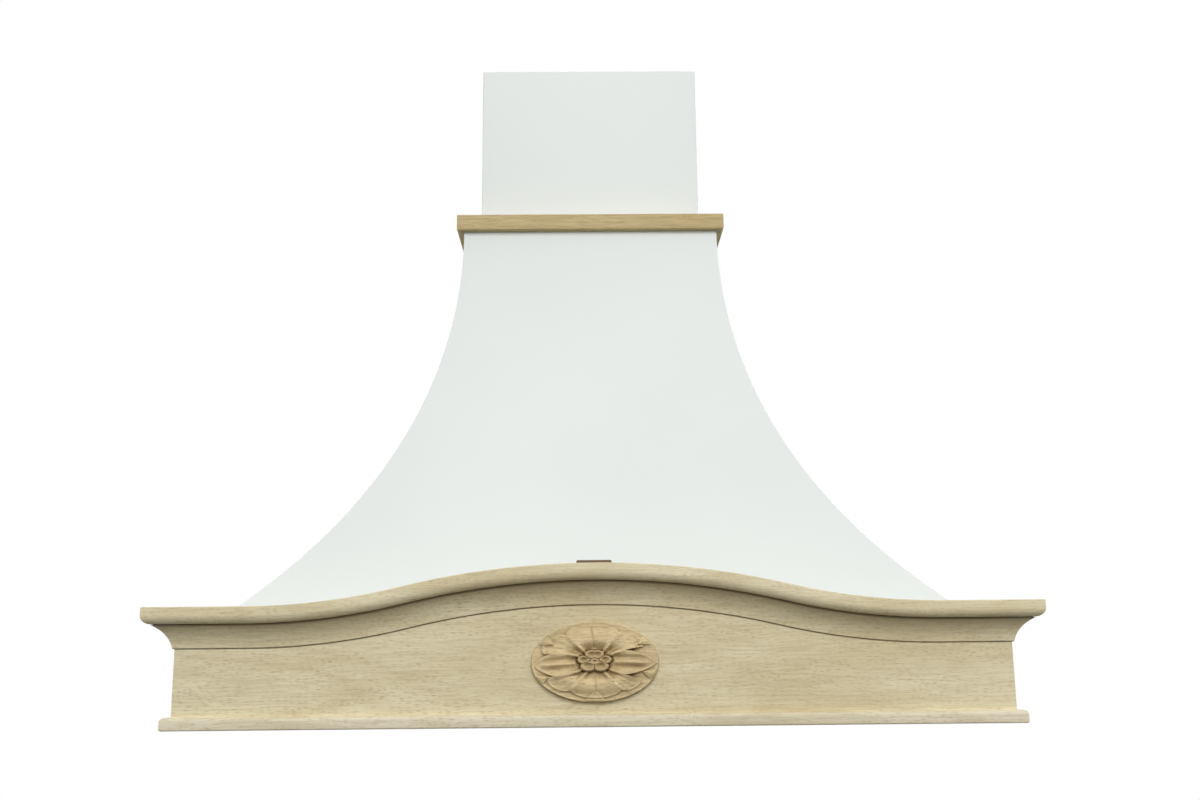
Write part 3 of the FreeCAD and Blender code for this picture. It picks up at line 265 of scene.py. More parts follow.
def ease(value):
    """From 0 to 1 with level ends: 3 x^2 - 2 x^3 of the value held between 0 and 1."""
    held = np.clip(value, 0, 1)
    return held * held * (3 - 2 * held)


def bell(value, width):
    """The bell curve exp(-(value / width)^2)."""
    return np.exp(-(value / width) ** 2)


def front_run(profile, sizes, arch=None, count=3):
    """A moulding across the front, mitred at both ends.

    A profile point (reach, height) stands at depth + reach from the wall, and its run ends
    at half_width + reach on each side.  An arch gives for a share from -1 to 1 the place of
    the lower line, its unit normal and how much of the mitre's reach is added there.
    """
    reach, height = profile[:, 0], profile[:, 1]
    if arch is None:
        share = np.linspace(-1, 1, count)
        across = share[:, None] * (sizes.half_width + reach)
        up = np.broadcast_to(height, across.shape)
    else:
        line, normal, spread = arch
        across = line[:, :1] + normal[:, :1] * height + spread[:, None] * reach
        up = line[:, 1:] + normal[:, 1:] * height
    into = np.broadcast_to(-(sizes.depth + reach), across.shape)
    return np.stack([across, into, up], -1)


def side_run(profile, sizes, side, count=3):
    """The same moulding along a side, from the wall to the mitre at the front corner."""
    reach, height = profile[:, 0], profile[:, 1]
    share = np.linspace(0, 1, count)
    into = -share[:, None] * (sizes.depth + reach)
    across = np.broadcast_to(side * (sizes.half_width + reach), into.shape)
    return np.stack([across, into, np.broadcast_to(height, into.shape)], -1)


def add_runs(stem, node, profile, sizes, look):
    """A moulding's front run and its two returns, as three pieces."""
    add_tube(stem + "_front", front_run(profile, sizes), look["X"], [node.format("front")])
    for name, side in SIDES:
        add_tube(f"{stem}_{name}", side_run(profile, sizes, side), look["Y"],
                 [node.format(name)])


def mirrored(values, signs):
    """Both halves of a line whose values are given from the centre out."""
    return np.concatenate([(values * signs)[:0:-1], values])


def arched_line(sizes, fine=40):
    """The cornice's lower line: flat, a hollow arc, the crest arc and the same again.

    Both arcs turn by the same angle, twice the arc tangent of rise over run.  The answer is
    the points, the unit normals that point up, and the mitre's share of each station.
    """
    run, rise, crest_run = sizes.arch_half_run, sizes.arch_rise, sizes.crest_run
    turn = 2 * math.atan(rise / run)
    crest, hollow = crest_run / math.sin(turn), (run - crest_run) / math.sin(turn)
    top = sizes.cornice_foot + rise
    angles = np.linspace(0, turn, fine)
    over = np.stack([crest * np.sin(angles), top - crest * (1 - np.cos(angles))], 1)
    back = angles[::-1][1:]
    under = np.stack([run - hollow * np.sin(back),
                      sizes.cornice_foot + hollow * (1 - np.cos(back))], 1)
    flat_share = np.linspace(0, 1, 5)[1:]
    flat = np.stack([run + flat_share * (sizes.half_width - run),
                     np.full(flat_share.shape, sizes.cornice_foot)], 1)
    half = np.concatenate([over, under, flat])
    tilt = np.concatenate([angles, back, np.zeros(len(flat))])
    normal = np.stack([np.sin(tilt), np.cos(tilt)], 1)
    spread = np.concatenate([np.zeros(len(over) + len(under)), flat_share])
    return mirrored(half, (-1, 1)), mirrored(normal, (-1, 1)), mirrored(spread, -1)


# ---- finishes
class Nodes:
    """A node tree filled one node at a time; an input is a number or another output."""

    def __init__(self, tree):
        self.tree = tree
        tree.nodes.clear()

    def add(self, kind, inputs=None, out=0, **settings):
        made = self.tree.nodes.new(kind)
        for key, setting in settings.items():
            setattr(made, key, setting)
        for key, given in (inputs or {}).items():
            if isinstance(given, bpy.types.NodeSocket):
                self.tree.links.new(given, made.inputs[key])
            else:
                made.inputs[key].default_value = given
        return made.outputs[out] if made.outputs else None

    def math(self, operation, first, second=0.5, third=0.5):
        return self.add("ShaderNodeMath", {0: first, 1: second, 2: third}, operation=operation)

    def spread(self, value, low, high, to_low=0.0, to_high=1.0):
        return self.add("ShaderNodeMapRange", {"Value": value, "From Min": low, "From Max": high,
                                               "To Min": to_low, "To Max": to_high},
                        interpolation_type="SMOOTHSTEP")

    def seen(self):
        """1 for what the camera, a mirror or glass sees, and 0 for what only gives light."""
        rays = self.add("ShaderNodeLightPath").node.outputs
        direct = self.math("MAXIMUM", rays["Is Camera Ray"], rays["Is Glossy Ray"])
        return self.math("MAXIMUM", direct, rays["Is Transmission Ray"])


class Finish(Nodes):
    """A material and its nodes.  Scales are in cells per metre."""

    def __init__(self, name):
        self.material = bpy.data.materials.new(name)
        self.material.use_nodes = True
        super().__init__(self.material.node_tree)

    def place(self, scale, turn=(0, 0, 0)):
        """Object coordinates, turned and then stretched by a scale for each axis."""
        spot = self.add("ShaderNodeTexCoord", out="Object")
        turned = self.add("ShaderNodeMapping", {"Vector": spot, "Rotation": turn})
        return self.add("ShaderNodeMapping", {"Vector": turned, "Scale": scale})

    def waving(self, scale, turn, drift):
        """The same, moved by a drift that is in cells of the scale."""
        return self.add("ShaderNodeVectorMath", {0: self.place(scale, turn), 1: drift},
                        operation="ADD")

    def noise(self, vector, detail=2.0, rough=0.5, warp=0.0):
        return self.add("ShaderNodeTexNoise", {"Vector": vector, "Scale": 1.0, "Detail": detail,
                                               "Roughness": rough, "Distortion": warp})

    def blend(self, share, first, second):
        first, second = (colour if isinstance(colour, bpy.types.NodeSocket)
                         else (*colour, 1.0) for colour in (first, second))
        return self.add("ShaderNodeMix", {0: share, 6: first, 7: second}, out=2,
                        data_type="RGBA")

    def cells(self, vector, channel):
        """Cells round scattered points: the distance from each point and its own number."""
        away = self.add("ShaderNodeTexVoronoi", {"Vector": vector, "Scale": 1.0}, out="Distance")
        own = self.add("ShaderNodeSeparateColor", {"Color": away.node.outputs["Color"]},
                       out=channel)
        return away, own

    def bump(self, height, distance, strength=1.0):
        return self.add("ShaderNodeBump", {"Height": height, "Distance": distance,
                                           "Strength": strength})

    def surface(self, **inputs):
        """The shader itself, from names written with _ for each space."""
        named = {key.replace("_", " "): given for key, given in inputs.items()}
        shader = self.add("ShaderNodeBsdfPrincipled", named)
        self.add("ShaderNodeOutputMaterial", {"Surface": shader})
        return self.material


def darker(colour, share):
    """A colour with each part times a share."""
    return tuple(part * share for part in colour)


def wood(name, light, dark, fleck, along="X", figure=0.5, flecks=0.5, deep=None, lines=0.26):
    """Planed wood: slow patches, faint arched figure, streaks, fibre and short ray flecks.

    The grain runs along X, or along Y on the pieces that run to the wall.  The figure is the
    contour lines of a slow field.  Flecks are cells stretched along a waving grain, dark
    where a point is near a cell's middle and the cell is one of the chosen share.
    """
    finish = Finish(name)
    turn = (0, 0, 0 if along == "X" else math.pi / 2)
    patches = finish.noise(finish.place((5, 16, 26), turn), detail=3.0, warp=0.4)
    colour = finish.blend(finish.spread(patches, 0.34, 0.66), light, dark)
    field = finish.noise(finish.place((1.3, 5, 7.5), turn), detail=1.0)
    rings = finish.math("PINGPONG", finish.math("MULTIPLY", field, 14.0), 0.5)
    line = finish.spread(rings, 0.22, 0.5)
    colour = finish.blend(finish.math("MULTIPLY", line, 0.22 * figure), colour, fleck)
    wave = finish.noise(finish.place((14, 45, 45), turn), detail=1.0)
    drift = finish.math("MULTIPLY", wave, 5.0)
    streaks = finish.noise(finish.waving((17, 400, 540), turn, drift), detail=3.0,
                           rough=0.62)
    thread = finish.spread(streaks, 0.38, 0.66)
    colour = finish.blend(finish.math("MULTIPLY", thread, lines), colour, fleck)
    away, own = finish.cells(finish.waving((128, 860, 1050), turn, drift), "Red")
    near = finish.spread(away, 0.22, 0.52, 1.0, 0.0)
    chosen = finish.spread(own, 1.0 - flecks - 0.25, 1.0 - flecks + 0.35)
    crowd = finish.noise(finish.place((9, 40, 45), turn))
    mark = finish.math("MULTIPLY", near, finish.math(
        "MULTIPLY", chosen, finish.spread(crowd, 0.3, 0.6, 0.45, 1.0)))
    colour = finish.blend(finish.math("MULTIPLY", mark, 0.56), colour, fleck)
    # Painted shade: where the carved attribute is low the colour goes to the deep colour, for the
    # shade in the cornice's groove and under its foot, and for shade and stain in the carving's
    # hollow places.
    if deep is not None:
        level = finish.add("ShaderNodeAttribute", out="Fac", attribute_name="carved")
        colour = finish.blend(level, deep, colour)
    dents = finish.math("SUBTRACT", finish.math("MULTIPLY", streaks, 0.6), mark)
    return finish.surface(Base_Color=colour, Normal=finish.bump(dents, 0.00012, 0.6),
                          Roughness=finish.math("MULTIPLY_ADD", streaks, 0.16, 0.52),
                          Specular_IOR_Level=0.30)


def both_ways(stem, light, dark, fleck, **figure):
    """The same wood with its grain along X and along Y."""
    return {along: wood(stem + along.lower(), light, dark, fleck, along, **figure)
            for along in ("X", "Y")}


def coat(name, colour, rough=0.42):
    """Powder coat: a colour that drifts a little, with the fine waves of sprayed paint."""
    finish = Finish(name)
    slow = finish.noise(finish.place((3, 3, 3)))
    fine = finish.noise(finish.place((420, 420, 420)))
    base = finish.blend(finish.spread(slow, 0.3, 0.7), colour, darker(colour, 0.965))
    return finish.surface(Base_Color=base, Normal=finish.bump(fine, 0.00004),
                          Roughness=finish.math("MULTIPLY_ADD", fine, 0.10, rough),
                          Specular_IOR_Level=0.35)


def zinc(name, colour):
    """Galvanised sheet: flat crystals, each with its own brightness and gloss."""
    finish = Finish(name)
    own = finish.cells(finish.place((85, 85, 85)), "Green")[1]
    fine = finish.noise(finish.place((300, 300, 300)))
    base = finish.blend(own, darker(colour, 0.88), colour)
    return finish.surface(Base_Color=base, Metallic=0.8,
                          Roughness=finish.math("MULTIPLY_ADD", own, 0.16, 0.36),
                          Normal=finish.bump(fine, 0.00002))


def brushed(name, colour, rough=0.34, scale=(14, 1500, 1500)):
    """Rolled or ground metal: hair lines along one axis, in colour and in roughness."""
    finish = Finish(name)
    lines = finish.noise(finish.place(scale))
    base = finish.blend(lines, darker(colour, 0.80), colour)
    return finish.surface(Base_Color=base, Metallic=1.0,
                          Roughness=finish.math("MULTIPLY_ADD", lines, 0.18, rough - 0.08),
                          Normal=finish.bump(lines, 0.000015))


def moulded(name, colour):
    """Moulded plastic: an even colour broken by fine grain and a slow change of gloss."""
    finish = Finish(name)
    grain = finish.noise(finish.place((2600, 2600, 2600)), detail=1.0)
    slow = finish.noise(finish.place((25, 25, 25)))
    base = finish.blend(grain, darker(colour, 0.82), colour)
    return finish.surface(Base_Color=base, Normal=finish.bump(grain, 0.00003),
                          Roughness=finish.math("MULTIPLY_ADD", slow, 0.14, 0.43))


def frosted(name, colour):
    """Sand-blasted glass: fine pits that scatter the light which passes."""
    finish = Finish(name)
    pits = finish.noise(finish.place((1800, 1800, 1800)), detail=1.0)
    base = finish.blend(pits, darker(colour, 0.93), colour)
    return finish.surface(Base_Color=base, Transmission_Weight=0.7, IOR=1.46,
                          Roughness=finish.math("MULTIPLY_ADD", pits, 0.2, 0.42),
                          Normal=finish.bump(pits, 0.00002))


def dress(finish, *nodes):
    """Give CAD nodes whose shape is right their finish."""
    for node in nodes:
        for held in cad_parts[node].material_slots:
            held.material = finish


FINISHES = {}


def shared(name, make, *given):
    """A finish that several operators use, made when it is first asked for."""
    if name not in FINISHES:
        FINISHES[name] = make(name, *given)
    return FINISHES[name]


def beech(along="X"):
    look = bpy.context.scene.hood_frame
    return shared("raw_beech_" + along.lower(), wood, look.beech_light, look.beech_dark,
                  look.fleck, along)


def white():
    return shared("white_coat", coat, bpy.context.scene.hood_dome.coat)


def steel():
    return shared("ground_steel", brushed, bpy.context.scene.hood_metal.steel)


# ---- pieces
def cornice_profile(sizes):
    """Closed cornice outline as (reach, height): foot lip, cove, sharp groove, round crown."""
    top, reach, foot = sizes.cornice_height, sizes.cornice_reach, sizes.foot_ease
    crown_foot = top - sizes.crown_height
    cove_top = crown_foot - sizes.groove_width
    first = np.array([sizes.foot_flat + foot, foot])
    last = np.array([sizes.cove_reach, cove_top])
    chord = last - first
    size, radius = np.hypot(*chord), sizes.cove_radius
    off = math.sqrt(radius ** 2 - size ** 2 / 4)
    middle = (first + last) / 2 + np.array([chord[1], -chord[0]]) / size * off
    start, end = (math.degrees(math.atan2(*(point - middle)[::-1])) for point in (first, last))
    back, corner = sizes.groove_back, sizes.groove_width / 4
    mouth = back + 4 * corner
    rounded, eased = sizes.crown_round, sizes.crown_ease
    return path(
        (0, 0), arc(sizes.foot_flat, foot, foot, -90, 0, 7),
        arc(middle[0], middle[1], radius, start, end, 26),
        (mouth, cove_top), (back, cove_top + corner), (back, crown_foot - corner),
        (mouth, crown_foot),
        arc(reach - rounded, crown_foot + rounded, rounded, -90, 0, 16),
        arc(reach - eased, top - eased, eased, 0, 90, 6), (0, top))


def creases(profile, sizes):
    """Painted shade: 1 on open wood and 0 in the groove and under the foot, where shade falls.

    1 less a bell of the distance from the groove, less a wide faint one of painted shade over the
    cove's top, times a ramp over the foot's round.
    """
    groove = np.array([sizes.groove_back + sizes.groove_width / 2,
                       sizes.cornice_height - sizes.crown_height - sizes.groove_width / 2])
    near, wide, faint, ramp = 1.9 * MM, 9 * MM, 0.26, 1.5 * MM
    away = np.hypot(*(profile - groove).T)
    hidden = bell(away, near) + faint * bell(away, wide) * (profile[:, 1] < groove[1])
    return np.clip(1 - hidden, 0, 1) * ease(profile[:, 1] / ramp)


class HOOD_OT_cornice(bpy.types.Operator):
    """Arched moulding over the front board and its two straight returns"""
    bl_idname = "hood.cornice"
    bl_label = "Cornice"

    def execute(self, context):
        sizes = context.scene.hood_frame
        profile = cornice_profile(sizes)
        # Painted shade in the groove, over the cove's top and under the foot.
        shown = creases(profile, sizes)
        look = both_ways("cornice_beech_", sizes.beech_light, sizes.beech_dark, sizes.fleck,
                         deep=sizes.crease)
        rings = front_run(profile, sizes, arched_line(sizes))
        piece = add_tube("cornice_front", rings, look["X"], ["front_cornice"], 30)
        mark_depth(piece, np.tile(shown, len(rings)))
        raised = profile + (0, sizes.cornice_foot)
        for name, side in SIDES:
            rings = side_run(raised, sizes, side)
            # A second ring close to the wall keeps the painted shade of the groove off the sawn
            # end.
            rings = np.insert(rings, 1, rings[0] + 0.002 * (rings[1] - rings[0]), 0)
            piece = add_tube("cornice_" + name, rings, look["Y"], [name + "_cornice"],
                             30)
            mark_depth(piece, np.append(np.ones(len(shown)), np.tile(shown, len(rings) - 1)))
        return {"FINISHED"}


class HOOD_OT_base_strips(bpy.types.Operator):
    """Strip with a rounded nose under the three boards"""
    bl_idname = "hood.base_strips"
    bl_label = "Base strips"

    def execute(self, context):
        sizes = context.scene.hood_frame
        nose, top = sizes.base_nose, sizes.base_height
        low, high = sizes.base_foot_round, sizes.base_top_round
        profile = path((-sizes.board_thick, 0), arc(nose - low, low, low, -90, 0, 7),
                       arc(nose - high, top - high, high, 0, 90, 12), (-sizes.board_thick, top))
        look = both_ways("strip_beech_", sizes.strip_light, sizes.strip_dark, sizes.fleck)
        add_runs("base_strip", "{}_base_strip", profile, sizes, look)
        return {"FINISHED"}


class HOOD_OT_boards(bpy.types.Operator):
    """Finish of the boards and of the inner battens"""
    bl_idname = "hood.boards"
    bl_label = "Boards and battens"

    def execute(self, context):
        look = context.scene.hood_frame
        dress(beech(), "front_fascia")
        dress(beech("Y"), "left_fascia", "right_fascia")
        inner = wood("inner_wood", look.inner_light, look.inner_dark, look.inner_dark,
                     figure=1.0, flecks=0.2)
        dress(inner, "back_rail", "front_batten", "rear_batten", "corner_blocks",
              "left_batten", "right_batten")
        return {"FINISHED"}


# From the lower right round to the bottom, as shares of the oval's half sizes.  Each petal
# starts at a line whose angle is given near the knot and near the rim, in degrees.
PETAL_LINES = ((-60.5, -60.5), (-38, -30), (36, 26), (62, 64), (123, 123), (152, 167),
               (221, 205), (242, 242))
# Reach of each petal, how far its corners fall back and the power of that curve.
PETAL_ENDS = ((0.91, 0.10, 2.6), (0.975, 0.40, 1.15), (0.93, 0.09, 2.6), (0.94, 0.08, 3.2),
              (0.93, 0.10, 2.6), (0.95, 0.20, 1.6), (0.92, 0.10, 2.4), (0.91, 0.08, 3.2))
# 1 for a rib between two channels, -1 for a crease and 0 for a plain hollow.
PETAL_MIDDLES = (0, 1, 0, -1, 0, 1, 0, -1)
# Angle, reach of the tip and half width at the rim of the small leaves over the petals' ends.
LEAVES = ((270, 0.73, 0.16), (341, 0.78, 0.14), (33, 0.80, 0.13), (146, 0.78, 0.14),
          (207, 0.81, 0.12))
# Place and radius of the knot's petals, as shares of the knot's half sizes.
KNOT_PETALS = ((-0.17, 0.58, 0.38), (0.17, 0.58, 0.38), (-0.64, 0.10, 0.36), (0.64, 0.10, 0.36),
               (-0.36, -0.50, 0.46), (0.36, -0.50, 0.46))
# The knot's middle and half sizes, and the leaves' foot, as shares of the oval's half sizes.
KNOT_MIDDLE, KNOT_HALF = (-0.008, 0.03), (0.262, 0.268)
LEAF_FOOT = 0.985


def petals(far, angle):
    """Height of the eight petals over their ground.

    Each rises from a deep foot at the knot, is highest half way out and rolls down to the
    rim.  Thin walls stand between the feet, the middle has a rib, a crease or a hollow, and
    the end is reach - fall back * |place|^power with a small lip.
    """
    share = np.clip((far - 0.35) / 0.5, 0, 1)
    lines = np.stack([near + (rim - near) * share for near, rim in PETAL_LINES])
    lines = np.concatenate([lines, lines[:1] + 360])
    which = (angle[None] >= lines[1:8]).sum(0)
    low, high = (np.take_along_axis(lines, (which + step)[None], 0)[0] for step in (0, 1))
    place = 2 * (angle - low) / (high - low) - 1            # -1 to 1 across the petal
    aside = np.abs(place)
    wide = np.radians(high - low) / 2 * far
    from_line, from_middle = (1 - aside) * wide, aside * wide
    reach, back, power = np.array(PETAL_ENDS)[which].transpose(2, 0, 1)
    middle = np.array(PETAL_MIDDLES)[which]
    end = reach - back * aside ** power
    open_part = ease((far - 0.27) / 0.08) * ease((end - far) / 0.12)

    height = 0.20 + 0.64 * ease((far - 0.27) / 0.28) - 0.50 * ease((far - 0.56) / 0.42)
    height -= 0.30 * (middle == 0) * bell(far - 0.38, 0.14) * ease(from_line / 0.06)
    height -= 0.20 * (middle == -1) * bell(far - 0.34, 0.10) * ease(from_line / 0.06)
    height += 0.17 * (aside ** 3 - 0.35) * open_part
    rib = (middle == 1) * open_part * ease((0.93 - far) / 0.3)
    height += rib * (0.22 * bell(from_middle, 0.045) - 0.30 * bell(from_middle - 0.125, 0.065))
    height -= 0.10 * (middle == -1) * bell(from_middle, 0.014) * open_part
    wall = 0.72 + 0.20 * ease((far - 0.25) / 0.22)
    standing = ease((far - 0.24) / 0.05) * (1 - ease((far - 0.60) / 0.20))
    height += np.maximum(wall - height, 0) * bell(from_line, 0.036) * standing
    height += 0.035 * bell(end - far - 0.022, 0.018)
    height += 0.014 * np.sin(place * 11.0 + which * 1.7) * open_part
    ground = 0.24 + 0.03 * ease((far - 0.965) / 0.012)
    return ground + (height - ground) * ease((end - far) / 0.040 + 0.5)


def carving(across, up):
    """Height of the carving, from 0 at its ground to 1 at the knot.

    Petals, then leaves that are pointed inward with a keel of their own, then the knot: six
    rings round pits, of which the upper two run together, with a pitted button between them.
    """
    far = np.hypot(across, up)
    angle = (np.degrees(np.arctan2(up, across)) - PETAL_LINES[0][0]) % 360 + PETAL_LINES[0][0]
    height = petals(far, angle)
    for turn, tip, half in LEAVES:
        aside = np.radians((angle - turn + 180) % 360 - 180) * far
        share = np.clip((far - tip) / (LEAF_FOOT - tip), 0, 1)
        edge = half * share ** 0.8
        keel = 0.36 + 0.16 * (1 - share) + 0.14 * np.clip(1 - np.abs(aside) / (edge + 1e-6), 0, 1)
        over = (ease((edge - np.abs(aside)) / 0.02 + 0.5) * (far > tip)
                * ease((LEAF_FOOT - far) / 0.02))
        height += (np.maximum(keel, height + keel - 0.28) - height) * over

    sideways = (across - KNOT_MIDDLE[0]) / KNOT_HALF[0]
    upward = (up - KNOT_MIDDLE[1]) / KNOT_HALF[1]
    reaches = np.stack([np.hypot(sideways - x, upward - y) / size for x, y, size in KNOT_PETALS])
    nearest = reaches.min(0)
    knot = 0.80 + 0.18 * bell(nearest - 0.76, 0.22) - 0.26 * bell(nearest, 0.50)
    seam = np.sort(reaches, 0)[1] - nearest
    twin = (upward > 0.3) & (np.abs(sideways) < 0.3)
    knot -= np.where(twin, 0.06, 0.30) * bell(seam, 0.10) * ease(
        (np.hypot(sideways, upward) - 0.2) / 0.1)
    button = np.hypot(sideways, upward + 0.05)
    knot = np.where(button < 0.24, 0.93 - 0.30 * bell(button, 0.10), knot)
    body = ease((1.13 - np.minimum(nearest, button / 0.3)) / 0.13)
    moat = 0.20 * bell(nearest - 1.3, 0.24) * (far < 0.5)
    height = (height - moat) * (1 - body) + knot * body
    return np.clip(height, 0.02, 1) * (0.3 + 0.7 * ease((1 - far) / 0.012 + 0.2))


def hollows(height, along=9, out=7):
    """Painted shade and stain for the carving: 1 on open parts and 0 in hollow places, from the
    height less its mean over a patch of the grid.
    """
    around = np.mean([np.roll(height, step, 1) for step in range(-along, along + 1)], 0)
    rows = np.arange(len(height))
    mean = np.mean([around[np.clip(rows + step, 0, rows[-1])] for step in range(-out, out + 1)], 0)
    return np.clip(0.98 + 3.1 * (height - mean), 0, 1)


class HOOD_OT_rosette(bpy.types.Operator):
    """Carved oval with eight petals and a knot"""
    bl_idname = "hood.rosette"
    bl_label = "Rosette"

    def execute(self, context):
        look, front = context.scene.hood_rosette, context.scene.hood_frame.depth
        steps, rounds = 512, 128
        far = np.linspace(0, 1, rounds + 1)[1:]
        turn = np.linspace(0, 2 * math.pi, steps, endpoint=False)
        across = far[:, None] * np.cos(turn)
        up = far[:, None] * np.sin(turn)
        height = carving(across, up)
        middle = float(height[0].mean())
        # The hollow places take painted shade and stain, the knot is a little darker than the
        # petals, and the outer edge is half way to the dark colour, as a painted shadow line round
        # the rim.
        open_parts = hollows(height) * (1 - 0.22 * (far[:, None] < 0.31))
        shown = np.concatenate([[open_parts[0].mean()], open_parts.ravel(),
                                np.full(2 * steps, 0.5)])
        rise = look.ground + look.relief * height
        grid = np.stack([look.half_width * across, -(front + rise),
                         look.height + look.half_height * up], -1)
        rim = grid[-1:].copy()
        foot = rim.copy()
        rim[..., 1] = -(front + look.ground * 0.75)
        foot[..., 1] = -front
        tip = np.array([[0.0, -(front + look.ground + look.relief * middle), look.height]])
        points = np.concatenate([tip, np.concatenate([grid, rim, foot]).reshape(-1, 3)])
        quads, caps = tube_faces(rounds + 2, steps)
        quads, back = quads + 1, [corner + 1 for corner in caps[1]]
        first = np.arange(steps) + 1
        centre = np.stack([np.zeros(steps, int), np.roll(first, -1), first], 1)
        finish = wood("rosette_beech", look.light, darker(look.light, 0.86), look.dark,
                      figure=0.8, flecks=0.35, deep=look.dark)
        piece = add_piece("rosette_carved", points, quads, centre.tolist() + [back], finish,
                          ["rosette"], 55)
        mark_depth(piece, shown)
        return {"FINISHED"}


def flare(neck, board, fall, height):
    """Distance of the sheet at a height under the neck.

    It follows a circle that is upright at the neck: neck + R - sqrt(R^2 - height^2), with R
    such that it reaches the board after the whole fall.
    """
    radius = (fall ** 2 + (board - neck) ** 2) / (2 * (board - neck))
    return neck + radius - np.sqrt(radius ** 2 - height ** 2)


CREST_GAP = 0.3 * MM            # between the brown block and the dome's sheet
SHEET_GAP = 0.05 * MM           # between the front sheet and the side sheets
SKIRT_FOLD = 1.5 * MM           # from the flare's end down to the upright skirt


class HOOD_OT_crest(bpy.types.Operator):
    """Brown block between the dome and the top of the arch"""
    bl_idname = "hood.crest"
    bl_label = "Crest block"

    def execute(self, context):
        wooden, dome = context.scene.hood_frame, context.scene.hood_dome
        half, corner = wooden.crest_half_width, wooden.crest_ease
        top = (wooden.cornice_foot + wooden.cornice_height + wooden.arch_rise
               + wooden.crest_shown)
        low = top - wooden.crest_height
        outline = path((-half, low), (half, low),
                       arc(half - corner, top - corner, corner, 0, 90, 6),
                       arc(corner - half, top - corner, corner, 90, 180, 6))
        across, up = outline[:, 0], outline[:, 1]
        board = wooden.depth - wooden.board_thick
        sheet = flare(dome.neck_depth, board, dome.top - dome.foot, dome.top - up)
        rings = [np.stack([across, -depth, up], 1)
                 for depth in (np.full(len(up), board), sheet + CREST_GAP)]
        look = wooden.stain
        stained = wood("stained_wood", look, darker(look, 0.7), darker(look, 0.5))
        add_tube("crest_packing", rings, stained, ["crest_block"])
        return {"FINISHED"}


class HOOD_OT_dome(bpy.types.Operator):
    """Three flared sheets of the dome and their short skirts"""
    bl_idname = "hood.dome"
    bl_label = "Dome"

    def execute(self, context):
        sizes, wooden = context.scene.hood_dome, context.scene.hood_frame
        inner = wooden.half_width - wooden.board_thick
        inner_front = wooden.depth - wooden.board_thick
        fall = sizes.top - sizes.foot
        down = fall * np.linspace(0, 1, 72)
        wide = np.append(flare(sizes.neck_half_width, inner, fall, down), [inner, inner])
        deep = np.append(flare(sizes.neck_depth, inner_front, fall, down),
                         [inner_front, inner_front])
        up = np.append(sizes.top - down, [sizes.foot - SKIRT_FOLD, sizes.skirt_foot])
        sheet = sizes.sheet

        def grid(across, into):
            return np.stack(np.broadcast_arrays(across, into, up[:, None]), -1)

        def add_sheet(name, outside, inside):
            add_tube("dome_" + name, np.concatenate([outside, inside], 1), white(),
                     [f"dome_{name}_panel"], 25)

        outside = grid(wide[:, None] * np.linspace(-1, 1, 25), -deep[:, None])
        inside = outside[:, ::-1] + (0, sheet, 0)
        inside[..., 0] *= ((wide - sheet) / wide)[:, None]
        add_sheet("front", outside, inside)
        for name, side in SIDES:
            into = -(deep - sheet - SHEET_GAP)[:, None] * np.linspace(0, 1, 13)
            outside = grid(side * wide[:, None], into)
            add_sheet(name, outside, outside[:, ::-1] - (side * sheet, 0, 0))
        return {"FINISHED"}


class HOOD_OT_collar(bpy.types.Operator):
    """Three mitred boards round the dome's neck"""
    bl_idname = "hood.collar"
    bl_label = "Collar"

    def execute(self, context):
        sizes, foot = context.scene.hood_collar, context.scene.hood_dome.top
        top, edge = foot + sizes.thick, sizes.ease
        profile = path((-sizes.board, foot), arc(-edge, foot + edge, edge, -90, 0, 7),
                       arc(-edge, top - edge, edge, 0, 90, 7), (-sizes.board, top))
        look = both_ways("collar_wood_", sizes.wood_light, sizes.wood_dark,
                         darker(sizes.wood_dark, 0.72), figure=0.6, flecks=0.15, lines=0.75)
        add_runs("collar_board", "collar_{}", profile, sizes, look)
        return {"FINISHED"}


class HOOD_OT_flue(bpy.types.Operator):
    """Folded flue cover that stands on the collar"""
    bl_idname = "hood.flue"
    bl_label = "Flue cover"

    def execute(self, context):
        sizes, sheet = context.scene.hood_flue, context.scene.hood_dome.sheet
        half, bend = sizes.half_width, sizes.bend
        edge, fold, into = half - sizes.back_edge, half - bend, -(sizes.depth - bend)
        small = bend - sheet
        outline = path((edge, 0), (half, 0), arc(fold, into, bend, 0, -90, 7),
                       arc(-fold, into, bend, -90, -180, 7), (-half, 0), (-edge, 0),
                       (-edge, -sheet), (-(half - sheet), -sheet),
                       arc(-fold, into, small, -180, -90, 7), arc(fold, into, small, -90, 0, 7),
                       (half - sheet, -sheet), (edge, -sheet))
        up = np.linspace(sizes.foot, sizes.top, 5)
        rings = np.stack([np.column_stack([outline, np.full(len(outline), height)])
                          for height in up])
        add_tube("flue_cover", rings, white(), ["chimney_cover"])
        return {"FINISHED"}


# Screws of the tray: how far in from its side edge or out from the centre line, and how far
# from the wall.  Screws of the flue cover: how far from the wall and under its upper edge.
EDGE_SCREWS = ((9 * MM, 96 * MM), (9 * MM, 360 * MM))
INNER_SCREWS = ((200 * MM, 450 * MM), (200 * MM, 28 * MM))
FLUE_SCREW = (24 * MM, 25 * MM)


